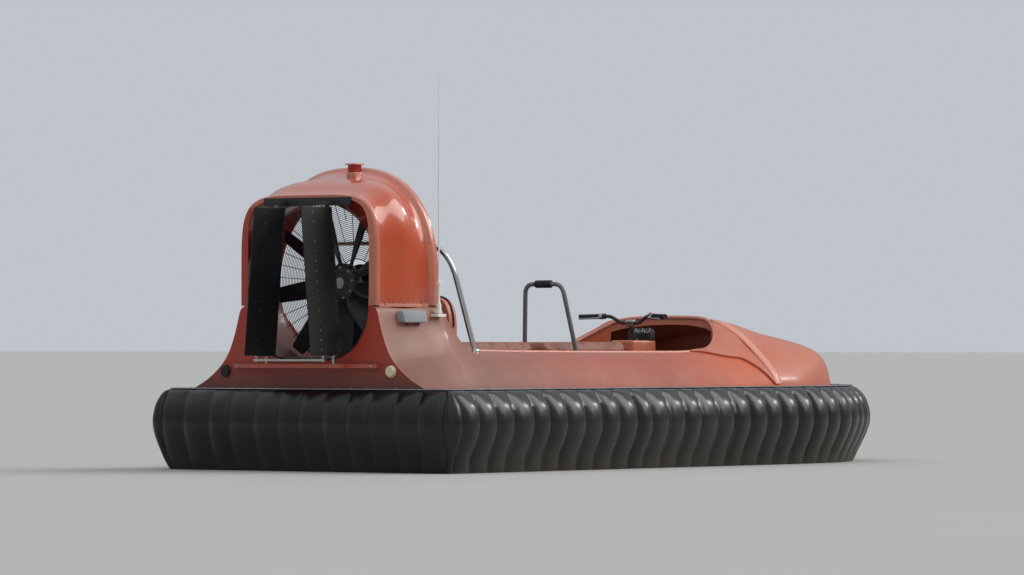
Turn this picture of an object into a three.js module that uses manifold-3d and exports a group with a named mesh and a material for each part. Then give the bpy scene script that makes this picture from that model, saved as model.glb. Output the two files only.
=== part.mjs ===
// Small open hovercraft with one ducted fan at the stern that gives both lift and thrust.
// Orange glass-fibre hull and duct, black segmented skirt, two rudders behind the duct,
// straddle seats, handlebar steering, a grab hoop and a guard hoop ahead of the fan.
// Millimetres. +X is starboard, +Y is ahead, +Z is up. The origin is on the ground
// under the middle of the craft's bounding box.
import * as THREE from "three";
import { mergeVertices } from "three/addons/utils/BufferGeometryUtils.js";
import Module from "manifold-3d";

const wasm = await Module();
wasm.setup();

// Driving dimensions
const SKIRT_HALF_WIDTH = 1225; // at the skirt's fullest line
const SKIRT_STERN_Y = -2620;
const SKIRT_BOW_Y = 2800;
const BULGE = 130; // skirt's fullest line outside the hull flange
const FLANGE_TOP = 500; // height of the hull flange that the skirt hangs from
const FLANGE_THICK = 20;
const BOW_RUN = 1600; // length over which the skirt rounds into the bow
const STERN_CORNER = 120; // plan radius of the skirt's stern corners
const DECK_MARGIN = 145; // flat margin between the flange edge and the raised deck
const HULL_BOTTOM_Z = 200;
const WELL_FLOOR_Z = 300;
const GAP = 0.3; // between pieces that rest on each other

const REAR_FACE_Y = -2510; // duct outlet and stern panel
const DUCT_FRONT_Y = -2050;
const COWL_SEAM_Z = 1010; // where the upper cowl bolts to the deck
const DUCT_AXIS_Z = 1150;
const LIP_HALF_WIDTH = 655; // front arch of the cowl
const LIP_TOP_Z = 1862;
const FAN_R = 560;
const MOUTH_R = FAN_R + 50; // inside of the inlet lip
const FAN_Y = -2155;
const OUTLET_HALF_WIDTH = 476;
const OUTLET_TOP_Z = 1658;
const OUTLET_BOTTOM_Z = 675;

// The two rudders lean towards each other at the top
const RUDDER_MID = { x: 221.5, y: -2588, z: 1150 };
const RUDDER_LEAN = THREE.MathUtils.degToRad(4.9);
const RUDDER_NOSE = 76; // ahead of the pivot
const RUDDER_TAIL = 212; // behind the pivot
const RUDDER_HALF_THICK = 20;
const RUDDER_LOW_Z = 706;
const RUDDER_HIGH_Z = 1606;
const HORN_ARM = 95; // pivot to tie-bar pin

const WELL_HALF_WIDTH = 600;
const WELL_FRONT_Y = 1255;

// Materials
const paint = (color, roughness, metalness = 0) =>
  new THREE.MeshStandardMaterial({ color, roughness, metalness });
const orange = paint(0xd9552b, 0.35);
const hullGrey = paint(0x5a5f63, 0.6);
const skirtBlack = paint(0x2a2927, 0.7);
const rudderBlack = paint(0x16181a, 0.45);
const fanBlack = paint(0x1c1c1e, 0.4);
const steel = paint(0xb8bcc0, 0.25, 1);
const darkSteel = paint(0x4a4c50, 0.4, 1);
const vinyl = paint(0x9a4a2c, 0.55);
const rubber = paint(0x181818, 0.8);
const white = paint(0xe6e6e0, 0.4);
const lampRed = paint(0x5c1210, 0.2);
const lampClear = paint(0xd8d0b0, 0.15);
const engineGrey = paint(0x6c7074, 0.5, 1);

const craft = new THREE.Group();
craft.name = "hovercraft";

function add(name, geometry, material) {
  const mesh = new THREE.Mesh(geometry, material);
  mesh.name = name;
  craft.add(mesh);
  return mesh;
}

// Solids: three.js geometry to and from manifold-3d
function solid(geometry) {
  const bare = geometry.clone();
  for (const key of Object.keys(bare.attributes)) {
    if (key !== "position") bare.deleteAttribute(key);
  }
  const merged = mergeVertices(bare, 1e-3);
  return new wasm.Manifold(
    new wasm.Mesh({
      numProp: 3,
      vertProperties: new Float32Array(merged.attributes.position.array),
      triVerts: new Uint32Array(merged.index.array),
    }),
  );
}

function geometryOf(manifold) {
  const mesh = manifold.getMesh();
  const points = new Float32Array(mesh.numVert * 3);
  for (let i = 0; i < mesh.numVert; i++) {
    for (let k = 0; k < 3; k++) points[3 * i + k] = mesh.vertProperties[i * mesh.numProp + k];
  }
  const geometry = new THREE.BufferGeometry();
  geometry.setAttribute("position", new THREE.BufferAttribute(points, 3));
  geometry.setIndex(new THREE.BufferAttribute(new Uint32Array(mesh.triVerts), 1));
  geometry.computeVertexNormals();
  return geometry;
}

const joined = (list) => list.map(solid).reduce((a, b) => a.add(b));

// A closed skin through rings of points. Every ring is a closed loop of the same count.
function loft(rings) {
  const n = rings[0].length;
  const points = rings.flat();
  const index = [];
  for (let r = 0; r + 1 < rings.length; r++) {
    for (let i = 0; i < n; i++) {
      const a = r * n + i;
      const b = r * n + ((i + 1) % n);
      index.push(a, b, a + n, b, b + n, a + n);
    }
  }
  const cap = (ring, start, flip) => {
    for (const [a, b, c] of capTriangles(ring)) {
      if (flip) index.push(start + a, start + c, start + b);
      else index.push(start + a, start + b, start + c);
    }
  };
  cap(rings[0], 0, true);
  cap(rings.at(-1), (rings.length - 1) * n, false);
  const geometry = new THREE.BufferGeometry();
  geometry.setAttribute("position", new THREE.Float32BufferAttribute(points.flat(), 3));
  geometry.setIndex(index);
  return facingOut(geometry);
}

// Triangles over one flat ring, wound the way the ring runs
function capTriangles(ring) {
  const normal = new THREE.Vector3();
  ring.forEach((p, i) => {
    const q = ring[(i + 1) % ring.length];
    normal.x += (p[1] - q[1]) * (p[2] + q[2]);
    normal.y += (p[2] - q[2]) * (p[0] + q[0]);
    normal.z += (p[0] - q[0]) * (p[1] + q[1]);
  });
  normal.normalize();
  const across = new THREE.Vector3(0.31, 0.57, 0.76).cross(normal).normalize();
  const up = normal.clone().cross(across);
  const flat = ring.map((p) => {
    const v = new THREE.Vector3(...p);
    return new THREE.Vector2(v.dot(across), v.dot(up));
  });
  return THREE.ShapeUtils.triangulateShape(flat, []);
}

function facingOut(geometry) {
  const p = geometry.attributes.position;
  const index = geometry.index.array;
  const [a, b, c] = [new THREE.Vector3(), new THREE.Vector3(), new THREE.Vector3()];
  let volume = 0;
  for (let i = 0; i < index.length; i += 3) {
    a.fromBufferAttribute(p, index[i]);
    b.fromBufferAttribute(p, index[i + 1]);
    c.fromBufferAttribute(p, index[i + 2]);
    volume += a.dot(b.cross(c));
  }
  if (volume < 0) {
    const turned = Array.from(index);
    for (let i = 0; i < turned.length; i += 3) {
      [turned[i + 1], turned[i + 2]] = [turned[i + 2], turned[i + 1]];
    }
    geometry.setIndex(turned);
  }
  return geometry;
}

// Simple shapes, placed
function box(x0, x1, y0, y1, z0, z1) {
  const geometry = new THREE.BoxGeometry(x1 - x0, y1 - y0, z1 - z0);
  return geometry.translate((x0 + x1) / 2, (y0 + y1) / 2, (z0 + z1) / 2);
}

function rod(from, to, radius, sides = 12, endRadius = radius) {
  const [a, b] = [new THREE.Vector3(...from), new THREE.Vector3(...to)];
  const geometry = new THREE.CylinderGeometry(endRadius, radius, a.distanceTo(b), sides);
  const way = b.clone().sub(a).normalize();
  geometry.applyQuaternion(new THREE.Quaternion().setFromUnitVectors(new THREE.Vector3(0, 1, 0), way));
  return geometry.translate(...a.add(b).multiplyScalar(0.5).toArray());
}

// A bent round tube through points, with each corner rounded
function bentTube(points, bend, radius, sides = 8, arcSteps = 4) {
  const route = new THREE.CurvePath();
  const v = points.map((p) => new THREE.Vector3(...p));
  let from = v[0];
  const stops = [v[0]];
  for (let i = 1; i + 1 < v.length; i++) {
    const back = v[i - 1].clone().sub(v[i]).normalize();
    const ahead = v[i + 1].clone().sub(v[i]).normalize();
    const start = v[i].clone().addScaledVector(back, bend);
    const end = v[i].clone().addScaledVector(ahead, bend);
    route.add(new THREE.LineCurve3(from, start));
    const corner = new THREE.QuadraticBezierCurve3(start, v[i], end);
    for (let k = 0; k <= arcSteps; k++) stops.push(corner.getPoint(k / arcSteps));
    from = end;
  }
  stops.push(v.at(-1));
  return sweep(stops, radius, sides);
}

// A round section carried along a line of points
function sweep(stops, radius, sides) {
  const rings = [];
  let side = new THREE.Vector3();
  stops.forEach((p, i) => {
    const before = stops[Math.max(i - 1, 0)];
    const after = stops[Math.min(i + 1, stops.length - 1)];
    const way = after.clone().sub(before).normalize();
    if (i === 0) {
      side.copy(Math.abs(way.z) < 0.9 ? new THREE.Vector3(0, 0, 1) : new THREE.Vector3(0, 1, 0));
    }
    side.addScaledVector(way, -side.dot(way)).normalize();
    const third = way.clone().cross(side);
    const ring = [];
    for (let k = 0; k < sides; k++) {
      const turn = (2 * Math.PI * (k + 0.5)) / sides;
      ring.push(
        p.clone()
          .addScaledVector(side, radius * Math.cos(turn))
          .addScaledVector(third, radius * Math.sin(turn))
          .toArray(),
      );
    }
    rings.push(ring);
  });
  return loft(rings);
}

// Plan outline of the craft. inset is measured inwards from the hull flange edge,
// so the skirt's fullest line is at an inset of -BULGE.
const FLANGE_HALF_WIDTH = SKIRT_HALF_WIDTH - BULGE;
const FLANGE_STERN_Y = SKIRT_STERN_Y + 100;
const FLANGE_BOW_Y = SKIRT_BOW_Y - BULGE;
const BOW_START_Y = SKIRT_BOW_Y - BOW_RUN;

function planShape(inset) {
  const sternInset = inset < 0 ? (inset * 100) / BULGE : inset;
  return {
    halfWidth: FLANGE_HALF_WIDTH - inset,
    sternY: FLANGE_STERN_Y + sternInset,
    bowRun: BOW_RUN - BULGE - inset,
    corner: Math.max(STERN_CORNER - BULGE - inset, 30),
  };
}

// Half width of the plan outline at one station along the craft
function halfWidthAt(y, inset) {
  const { halfWidth, sternY, bowRun, corner } = planShape(inset);
  if (y > BOW_START_Y) {
    const t = Math.min((y - BOW_START_Y) / bowRun, 1);
    return halfWidth * Math.sqrt(1 - t * t);
  }
  const fromStern = y - sternY;
  if (fromStern < corner) {
    return halfWidth - corner + Math.sqrt(corner ** 2 - (corner - fromStern) ** 2);
  }
  return halfWidth;
}

// A station on the outline: leg is the stretch it is on, and t runs 0 to 1 along that leg.
// The legs run anticlockwise from the middle of the stern: half stern, corner, side, half bow.
function outlinePoint(leg, t, inset) {
  const { halfWidth, sternY, bowRun, corner } = planShape(inset);
  if (leg === "stern") return [(halfWidth - corner) * t, sternY];
  if (leg === "corner") {
    const turn = (t * Math.PI) / 2;
    return [
      halfWidth - corner + corner * Math.sin(turn),
      sternY + corner - corner * Math.cos(turn),
    ];
  }
  if (leg === "side") {
    const start = sternY + corner;
    return [halfWidth, start + (BOW_START_Y - start) * t];
  }
  const turn = bowAngle(t);
  return [halfWidth * Math.cos(turn), BOW_START_Y + bowRun * Math.sin(turn)];
}

// Angle round the bow at a share t of its length at the skirt's fullest line
const BOW_STEPS = 400;
const bowLength = [0];
for (let i = 1; i <= BOW_STEPS; i++) {
  const mid = ((i - 0.5) / BOW_STEPS) * (Math.PI / 2);
  const step = Math.hypot(SKIRT_HALF_WIDTH * Math.sin(mid), BOW_RUN * Math.cos(mid));
  bowLength.push(bowLength[i - 1] + step);
}
function bowAngle(t) {
  const wanted = t * bowLength[BOW_STEPS];
  const i = Math.max(1, bowLength.findIndex((length) => length >= wanted));
  const part = (wanted - bowLength[i - 1]) / (bowLength[i] - bowLength[i - 1]);
  return ((i - 1 + part) / BOW_STEPS) * (Math.PI / 2);
}

// Whole outline at an inset, anticlockwise seen from above, from the middle of the stern
function outline(inset, sternSteps = 2, cornerSteps = 3, sideSteps = 3, bowSteps = 10) {
  const half = [];
  const legs = [["stern", sternSteps], ["corner", cornerSteps], ["side", sideSteps], ["bow", bowSteps]];
  for (const [leg, steps] of legs) {
    for (let i = 0; i < steps; i++) half.push(outlinePoint(leg, i / steps, inset));
  }
  half.push(outlinePoint("bow", 1, inset));
  const mirrored = half.slice(1, -1).reverse().map(([x, y]) => [-x, y]);
  return [...half, ...mirrored];
}

const plate = (inset, z0, z1) =>
  loft([z0, z1].map((z) => outline(inset).map(([x, y]) => [x, y, z])));

// Cockpit well: plan outline, wider at the fan and rounded at the front
function wellPlan(slack) {
  const w = WELL_HALF_WIDTH - slack;
  const half = [
    [w + 12, DUCT_FRONT_Y],
    [w + 12, DUCT_FRONT_Y + 100],
    [w, -1740],
    [w, 760],
  ];
  const roundStart = 760;
  const roundRun = WELL_FRONT_Y - slack - roundStart;
  for (let i = 1; i <= 6; i++) {
    const turn = ((i / 6) * Math.PI) / 2;
    half.push([w * Math.cos(turn) ** 0.8, roundStart + roundRun * Math.sin(turn)]);
  }
  half.at(-1)[0] = 0;
  const mirrored = half.slice(0, -1).reverse().map(([x, y]) => [-x, y]);
  return [...half, ...mirrored];
}
const wellCut = (slack, z0, z1) =>
  loft([z0, z1].map((z) => wellPlan(slack).map(([x, y]) => [x, y, z])));

// Deck sections. Each row is one station: y, then x and z of the crown's side, the rim of
// the cockpit or hood, the flare, the shoulder and the low line, to starboard of the
// centreline. The last column is the half width at the foot of the raised deck, or 0 where
// the foot follows the flange.
const DECK_SECTIONS = [
  // y, crownZ, crown [x, z], rim [x, z], flare [x, z], shoulder [x, z], low [x, z], footX
  [-2510, 1010, [300, 1010], [532, 1010], [578, 835], [644, 685], [774, 570], 905],
  [-2050, 1010, [300, 1010], [655, 1010], [690, 850], [745, 745], [835, 650], 930],
  [-1900, 870, [300, 870], [643, 870], [688, 796], [752, 720], [846, 636], 930],
  [-1740, 737, [300, 737], [628, 737], [700, 722], [786, 692], [862, 610], 930],
  [480, 725, [300, 725], [606, 725], [694, 712], [786, 686], [862, 606], 930],
  [800, 790, [300, 785], [590, 742], [680, 722], [786, 688], [868, 606], 932],
  [1040, 905, [300, 895], [510, 842], [640, 778], [782, 690], [884, 598], 936],
  [1160, 950, [250, 948], [425, 918], [620, 822], [794, 696], [900, 588], 940],
];
// The foredeck moulding laps over the side decks, so it stands a little proud of them
const FOREDECK_SECTIONS = [
  [1140, 950, [250, 948], [425, 918], [620, 822], [794, 696], [900, 588], 940],
  [1300, 944, [240, 940], [418, 908], [618, 818], [790, 712], [890, 606], 0],
  [1700, 880, [200, 874], [400, 836], [612, 784], [752, 732], [842, 645], 0],
  [2100, 822, [150, 818], [320, 792], [478, 757], [590, 714], [664, 635], 0],
  [2330, 772, [110, 769], [220, 757], [328, 735], [408, 698], [468, 630], 0],
  [2465, 732, [60, 729], [128, 718], [186, 696], [238, 656], [270, 600], 0],
  [2530, 610, [26, 606], [52, 598], [72, 582], [86, 560], [96, 530], 0],
];
const FOREDECK_PROUD = 10;
const DECK_FOOT_Z = 505;
const DECK_BASE_Z = FLANGE_TOP - FLANGE_THICK;

function deckRing([y, crownZ, ...rest], lower = 0, narrow = 0) {
  const footX = rest.pop() || halfWidthAt(y, DECK_MARGIN);
  const half = [...rest, [footX, DECK_FOOT_Z], [footX, DECK_BASE_Z]].map(([x, z]) => [
    Math.max(x - narrow, 4),
    z > DECK_BASE_Z ? Math.max(z - lower, DECK_BASE_Z + 2) : z,
  ]);
  const port = half.slice().reverse().map(([x, z]) => [-x, y, z]);
  return [[0, y, crownZ - lower], ...half.map(([x, z]) => [x, y, z]), ...port];
}

const deckBody = solid(loft(DECK_SECTIONS.map((row) => deckRing(row))));
const foredeckBody = solid(
  loft(FOREDECK_SECTIONS.map((row) => deckRing(row, -FOREDECK_PROUD, -FOREDECK_PROUD))),
);
// The same shape a little larger, to cut the feet of what stands on it
const deckGrown = solid(loft(DECK_SECTIONS.map((row) => deckRing(row, -0.4, -0.4))));
const flangePlate = solid(plate(0, DECK_BASE_Z, FLANGE_TOP));
// Foot space that runs forward under the hood
const FOOT_SPACE_END_Y = 1680;
const footRows = [DECK_SECTIONS.at(-2), ...FOREDECK_SECTIONS.slice(0, 3)].map((row) => [
  Math.min(row[0], FOOT_SPACE_END_Y),
  ...row.slice(1),
]);
const footSpace = solid(
  loft(
    footRows.map((row) =>
      deckRing(row, 42, 60).map(([x, y, z]) => [
        THREE.MathUtils.clamp(x, -560, 560),
        y,
        z > DECK_BASE_Z + 3 ? z : DECK_BASE_Z - 30,
      ]),
    ),
  ),
);

// The duct's outer and inner shapes. A section is walked by angle round the duct axis.
const DUCT_STEPS = 40;
const roundTurn = (i) => -Math.PI / 2 + (2 * Math.PI * i) / DUCT_STEPS;

function circleSection(y, radius) {
  const ring = [];
  for (let i = 0; i < DUCT_STEPS; i++) {
    const turn = roundTurn(i);
    ring.push([radius * Math.cos(turn), y, DUCT_AXIS_Z + radius * Math.sin(turn)]);
  }
  return ring;
}

// Rounded box section: half width, top, bottom, and corner roundness above and below
function boxSection(y, halfWidth, top, bottom, upperPower, lowerPower) {
  const middle = (top + bottom) / 2;
  const halfHeight = (top - bottom) / 2;
  const ring = [];
  for (let i = 0; i < DUCT_STEPS; i++) {
    const turn = roundTurn(i);
    const power = 2 / (Math.sin(turn) > 0 ? upperPower : lowerPower);
    const [c, s] = [Math.cos(turn), Math.sin(turn)];
    ring.push([
      halfWidth * Math.sign(c) * Math.abs(c) ** power,
      y,
      middle + halfHeight * Math.sign(s) * Math.abs(s) ** power,
    ]);
  }
  return ring;
}

// Ahead of the square-cornered outlet the passage's upper corners are filled in
const ROUND_Y = -2215;
const FILL_TOP_Z = 1640;
function bore(slack) {
  const room = FAN_R + 12 - slack;
  const outlet = (y) =>
    boxSection(y, OUTLET_HALF_WIDTH - slack, OUTLET_TOP_Z - slack, OUTLET_BOTTOM_Z + slack, 6, 3);
  const filled = (y) => {
    const share = (y - REAR_FACE_Y) / (ROUND_Y - REAR_FACE_Y);
    const ahead = circleSection(y, room);
    const straight = outlet(y).map(([x, , z], i) => [
      THREE.MathUtils.lerp(x, ahead[i][0], share),
      y,
      THREE.MathUtils.lerp(z, ahead[i][2], share),
    ]);
    const [halfWidth, , middle] = straight[DUCT_STEPS / 4];
    const top = FILL_TOP_Z - slack;
    const rounder = boxSection(y, halfWidth, top, 2 * middle - top, 2.2, 2.2);
    return straight.map((point, i) => (point[2] > middle + 0.01 ? rounder[i] : point));
  };
  return solid(
    loft([
      outlet(REAR_FACE_Y - 60),
      outlet(REAR_FACE_Y),
      filled(REAR_FACE_Y + 60),
      filled(REAR_FACE_Y + 90),
      circleSection(ROUND_Y, room),
      circleSection(-2100, room),
      circleSection(-2072, FAN_R + 24 - slack),
      circleSection(DUCT_FRONT_Y, MOUTH_R - slack),
      circleSection(DUCT_FRONT_Y + 60, MOUTH_R - slack),
    ]),
  );
}
const ductBore = bore(0);

// Cowl sections: y, half width, top and how square the corners are
const COWL_SECTIONS = [
  [REAR_FACE_Y, 528, 1682, 5],
  [REAR_FACE_Y + 24, 540, 1690, 5],
  [REAR_FACE_Y + 34, 530, 1682, 5],
  [-2300, 584, 1764, 4.2],
  [DUCT_FRONT_Y - 62, LIP_HALF_WIDTH - 24, LIP_TOP_Z - 26, 2.4],
  [DUCT_FRONT_Y - 46, LIP_HALF_WIDTH - 3, LIP_TOP_Z - 4, 2.4],
  [DUCT_FRONT_Y - 12, LIP_HALF_WIDTH, LIP_TOP_Z, 2.4],
  [DUCT_FRONT_Y, LIP_HALF_WIDTH - 10, LIP_TOP_Z - 12, 2.4],
];
const cowlOuter = solid(
  loft(
    COWL_SECTIONS.map(([y, halfWidth, top, power]) =>
      boxSection(y, halfWidth, top, 2 * DUCT_AXIS_Z - top, power, power),
    ),
  ),
);
const cowlBase = solid(box(-1300, 1300, -3000, -1500, 0, COWL_SEAM_Z + GAP / 2));
add("duct_cowl", geometryOf(cowlOuter.subtract(ductBore).subtract(cowlBase)), orange);

// Deck mouldings
const hollowed = (body) =>
  body.add(flangePlate).subtract(solid(wellCut(0, 400, 1100))).subtract(footSpace);
const deckTotal = hollowed(deckBody);
const slab = (y0, y1) => solid(box(-1400, 1400, y0, y1, 400, COWL_SEAM_Z - GAP / 2));
const FOREDECK_Y = 1150;
const pedestal = deckTotal.intersect(slab(-3000, DUCT_FRONT_Y)).subtract(ductBore);
add("stern_pedestal", geometryOf(pedestal), orange);
const sides = deckTotal.intersect(slab(DUCT_FRONT_Y + GAP, FOREDECK_Y));
for (const [name, sign] of [["port", -1], ["starboard", 1]]) {
  const across = [sign * 1400, (sign * GAP) / 2].sort((a, b) => a - b);
  const half = solid(box(...across, -3000, 3000, 0, 2000));
  add(`side_deck_${name}`, geometryOf(sides.intersect(half)), orange);
}
add("foredeck", geometryOf(hollowed(foredeckBody).intersect(slab(FOREDECK_Y + GAP, 3000))), orange);

// Lower hull: flat planing bottom, flared sides, foam-filled sides round an open well
const HULL_RINGS = [
  // inset, z
  [300, HULL_BOTTOM_Z],
  [256, 235],
  [30, 458],
  [8, DECK_BASE_Z - GAP],
];
const hullShape = solid(loft(HULL_RINGS.map(([inset, z]) => outline(inset).map(([x, y]) => [x, y, z]))));
const footWell = solid(box(-560, 560, 1000, FOOT_SPACE_END_Y - 20, WELL_FLOOR_Z, 600));
const hull = hullShape.subtract(solid(wellCut(6, WELL_FLOOR_Z, 600))).subtract(footWell);
add("hull_bottom", geometryOf(hull), hullGrey);

// Two runners under the hull that it lands on when the skirt is empty
for (const [name, sign] of [["port", -1], ["starboard", 1]]) {
  const profile = [
    [-1900, HULL_BOTTOM_Z - GAP],
    [-1840, 160],
    [1300, 160],
    [1420, HULL_BOTTOM_Z - GAP],
  ];
  const rings = [sign * 430 - 35, sign * 430 + 35].map((x) => profile.map(([y, z]) => [x, y, z]));
  add(`hull_runner_${name}`, loft(rings), rubber);
}

// Skirt: one closed ring of loops. Section points are inset from the flange edge and height.
const SKIRT_SECTION = [
  // inset, z, share of the seam groove
  [-0.5, 499.5, 0],
  [-36, 487, 0.4],
  [-76, 452, 1],
  [-110, 395, 1],
  [-130, 300, 1],
  [-112, 205, 1],
  [-48, 72, 0.8],
  [-10, 0, 0.3],
  [20, 0, 0],
  [240, 228, 0],
  [-0.5, 479, 0],
];
const SEAM_GROOVE = 26;
// Columns round each half of the craft, three to a skirt segment. The bow's middle segment
// is the one that spans the centreline.
const COLUMNS = { stern: 36, corner: 3, side: 63, bow: 38 };

function skirtRing(leg, t, mirror, groove) {
  return SKIRT_SECTION.map(([inset, z, share]) => {
    const [x, y] = outlinePoint(leg, t, inset + SEAM_GROOVE * share * groove);
    return [x * mirror, y, z];
  });
}

// Columns along one leg, with a seam at every third
function skirtLeg(leg, mirror) {
  const rings = [];
  for (let k = 0; k <= COLUMNS[leg]; k++) {
    rings.push(skirtRing(leg, k / COLUMNS[leg], mirror, k % 3 === 0 ? 1 : 0));
  }
  return rings;
}

function sternRings() {
  const rings = [];
  for (let k = 0; k <= COLUMNS.stern; k++) {
    const t = (2 * k) / COLUMNS.stern - 1;
    rings.push(skirtRing("stern", Math.abs(t), Math.sign(t) || 1, k % 3 === 0 ? 1 : 0));
  }
  return rings;
}
const quarter = (mirror) => [...skirtLeg("corner", mirror).slice(1, -1), ...skirtLeg("side", mirror)];
const skirtAft = solid(loft([...quarter(-1).reverse(), ...sternRings(), ...quarter(1)]));

// The stern run is mitred to the side runs through the corners
const MITRE = { outer: [SKIRT_HALF_WIDTH, SKIRT_STERN_Y], inner: [855, -2280] };
function mitreWedge(slack) {
  const [dx, dy] = [0, 1].map((k) => MITRE.outer[k] - MITRE.inner[k]);
  const apexY = MITRE.inner[1] - (MITRE.inner[0] * dy) / dx + slack * 1.4;
  const baseY = SKIRT_STERN_Y - 400;
  const half = ((apexY - baseY) * dx) / -dy;
  const plan = [[0, apexY], [-half, baseY], [half, baseY]];
  return solid(loft([-50, 700].map((z) => plan.map(([x, y]) => [x, y, z]))));
}
const foreOf = (y) => solid(box(-1400, 1400, y, 3000, -50, 700));
add("skirt_stern", geometryOf(skirtAft.intersect(mitreWedge(-GAP / 2))), skirtBlack);
const skirtSides = skirtAft.subtract(mitreWedge(GAP / 2)).subtract(foreOf(BOW_START_Y - GAP));
for (const [name, sign] of [["port", -1], ["starboard", 1]]) {
  const half = box(Math.min(0, sign * 1400), Math.max(0, sign * 1400), -3000, 3000, -50, 700);
  add(`skirt_${name}`, geometryOf(skirtSides.intersect(solid(half))), skirtBlack);
}
const bowHalf = skirtLeg("bow", 1);
const bowPort = skirtLeg("bow", -1).slice(0, -1).reverse();
add("skirt_bow", loft([...bowHalf, ...bowPort]), skirtBlack);

// Duct splitter: the air below it goes down into the skirt, the air above it drives the craft
const splitter = solid(box(-700, 700, REAR_FACE_Y + 12, -2222, 686, 698)).intersect(bore(1));
add("duct_splitter", geometryOf(splitter), hullGrey);

// Fan: hub, shaft and blades in one piece, turning about a fore-and-aft axis
const FAN_BLADES = 9;
const HUB_R = 110;
const BLADE_SECTIONS = [
  // radius, chord, pitch in degrees, thickness
  [92, 128, 52, 20],
  [210, 132, 40, 16],
  [370, 118, 29, 12],
  [FAN_R, 92, 21, 8],
];
function bladeRing([radius, chord, pitch, thick]) {
  const section = [
    [-0.5, 0],
    [-0.34, 0.5],
    [0.05, 0.5],
    [0.5, 0.1],
    [0.5, -0.1],
    [-0.05, -0.35],
    [-0.36, -0.5],
  ];
  const turn = THREE.MathUtils.degToRad(pitch);
  return section.map(([c, t]) => {
    const [along, off] = [c * chord, t * thick];
    return [
      radius,
      along * Math.sin(turn) + off * Math.cos(turn),
      along * Math.cos(turn) - off * Math.sin(turn),
    ];
  });
}
const BEARING_Y = [-1920, -1866];
const COVER_Y = [-2008, -1920.6];
function fanGeometry() {
  const hub = new THREE.LatheGeometry(
    [[0, -52], [70, -52], [HUB_R, -40], [HUB_R, 38], [84, 50], [0, 50]].map(
      ([r, y]) => new THREE.Vector2(r, y),
    ),
    20,
  );
  const pieces = [hub, rod([0, 40, 0], [0, BEARING_Y[1] + 8 - FAN_Y, 0], 20, 16)];
  for (let i = 0; i < FAN_BLADES; i++) {
    const blade = loft(BLADE_SECTIONS.map(bladeRing));
    pieces.push(blade.rotateY((2 * Math.PI * (i + 0.3)) / FAN_BLADES));
  }
  return geometryOf(joined(pieces));
}
add("fan", fanGeometry(), fanBlack).position.set(0, FAN_Y, DUCT_AXIS_Z);

// Inlet guard on the duct's front lip
const GUARD_Y = DUCT_FRONT_Y + 5 + GAP;
function inletGuard() {
  const pieces = [];
  for (const [radius, wire, steps] of [[616, 5, 30], [470, 3.5, 24], [310, 3.5, 20], [150, 5, 16]]) {
    pieces.push(new THREE.TorusGeometry(radius, wire, 4, steps).rotateX(Math.PI / 2));
  }
  for (let i = 0; i < 12; i++) {
    const turn = (2 * Math.PI * (i + 0.5)) / 12;
    const at = (r) => [r * Math.cos(turn), 0, r * Math.sin(turn)];
    pieces.push(rod(at(150), at(614), 4, 4));
  }
  return geometryOf(joined(pieces));
}
add("inlet_guard", inletGuard(), steel).position.set(0, GUARD_Y, DUCT_AXIS_Z);

// Fan frame that holds the bearing, standing on the well floor ahead of the duct
function fanFrame() {
  const y = (BEARING_Y[0] + BEARING_Y[1]) / 2;
  const floor = WELL_FLOOR_Z + GAP;
  const pieces = [rod([0, BEARING_Y[0], DUCT_AXIS_Z], [0, BEARING_Y[1], DUCT_AXIS_Z], 62, 20)];
  for (const side of [-1, 1]) {
    pieces.push(rod([side * 300, y, floor + 10], [side * 30, y, DUCT_AXIS_Z - 20], 24, 8));
    pieces.push(box(side * 300 - 55, side * 300 + 55, y - 40, y + 40, floor, floor + 12));
  }
  pieces.push(rod([-170, y, 760], [170, y, 760], 18, 8));
  const hole = solid(rod([0, -2100, DUCT_AXIS_Z], [0, -1700, DUCT_AXIS_Z], 20.8, 20));
  return geometryOf(joined(pieces).subtract(hole));
}
add("fan_frame", fanFrame(), darkSteel);

// Cover over the toothed belt from the engine up to the fan shaft
const CRANK_Z = 520;
function beltCover() {
  const shape = new THREE.Shape();
  const [low, high] = [92, 118];
  shape.absarc(0, DUCT_AXIS_Z, high, 0, Math.PI, false);
  shape.absarc(0, CRANK_Z, low, Math.PI, 2 * Math.PI, false);
  shape.closePath();
  const hole = new THREE.Path();
  hole.absarc(0, DUCT_AXIS_Z, 30, 0, 2 * Math.PI, true);
  shape.holes.push(hole);
  const geometry = new THREE.ExtrudeGeometry(shape, {
    depth: COVER_Y[1] - COVER_Y[0],
    bevelEnabled: false,
    curveSegments: 10,
  });
  return geometry.rotateX(Math.PI / 2).translate(0, COVER_Y[1], 0);
}
add("belt_cover", geometryOf(solid(beltCover())), fanBlack);

// Engine: block, two upright cylinders, their heads and the drive boss
function engine() {
  const floor = WELL_FLOOR_Z + GAP;
  const pieces = [
    box(-170, 170, -1846, -1566, floor, floor + 250),
    box(-120, 120, -1832, -1584, floor + 240, floor + 330),
    rod([0, -1830, CRANK_Z - 20], [0, COVER_Y[1] + GAP, CRANK_Z - 20], 46, 16),
    rod([160, -1706, 420], [236, -1706, 420], 62, 16),
  ];
  for (const y of [-1775, -1640]) {
    for (const [z, r] of [[642, 66], [664, 66], [686, 66]]) {
      pieces.push(rod([0, y, z - 6], [0, y, z + 6], r, 12));
    }
    pieces.push(rod([0, y, 600], [0, y, 700], 54, 12));
    pieces.push(rod([0, y, 694], [0, y, 728], 24, 8, 14));
  }
  return geometryOf(joined(pieces));
}
add("engine", engine(), engineGrey);

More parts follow.
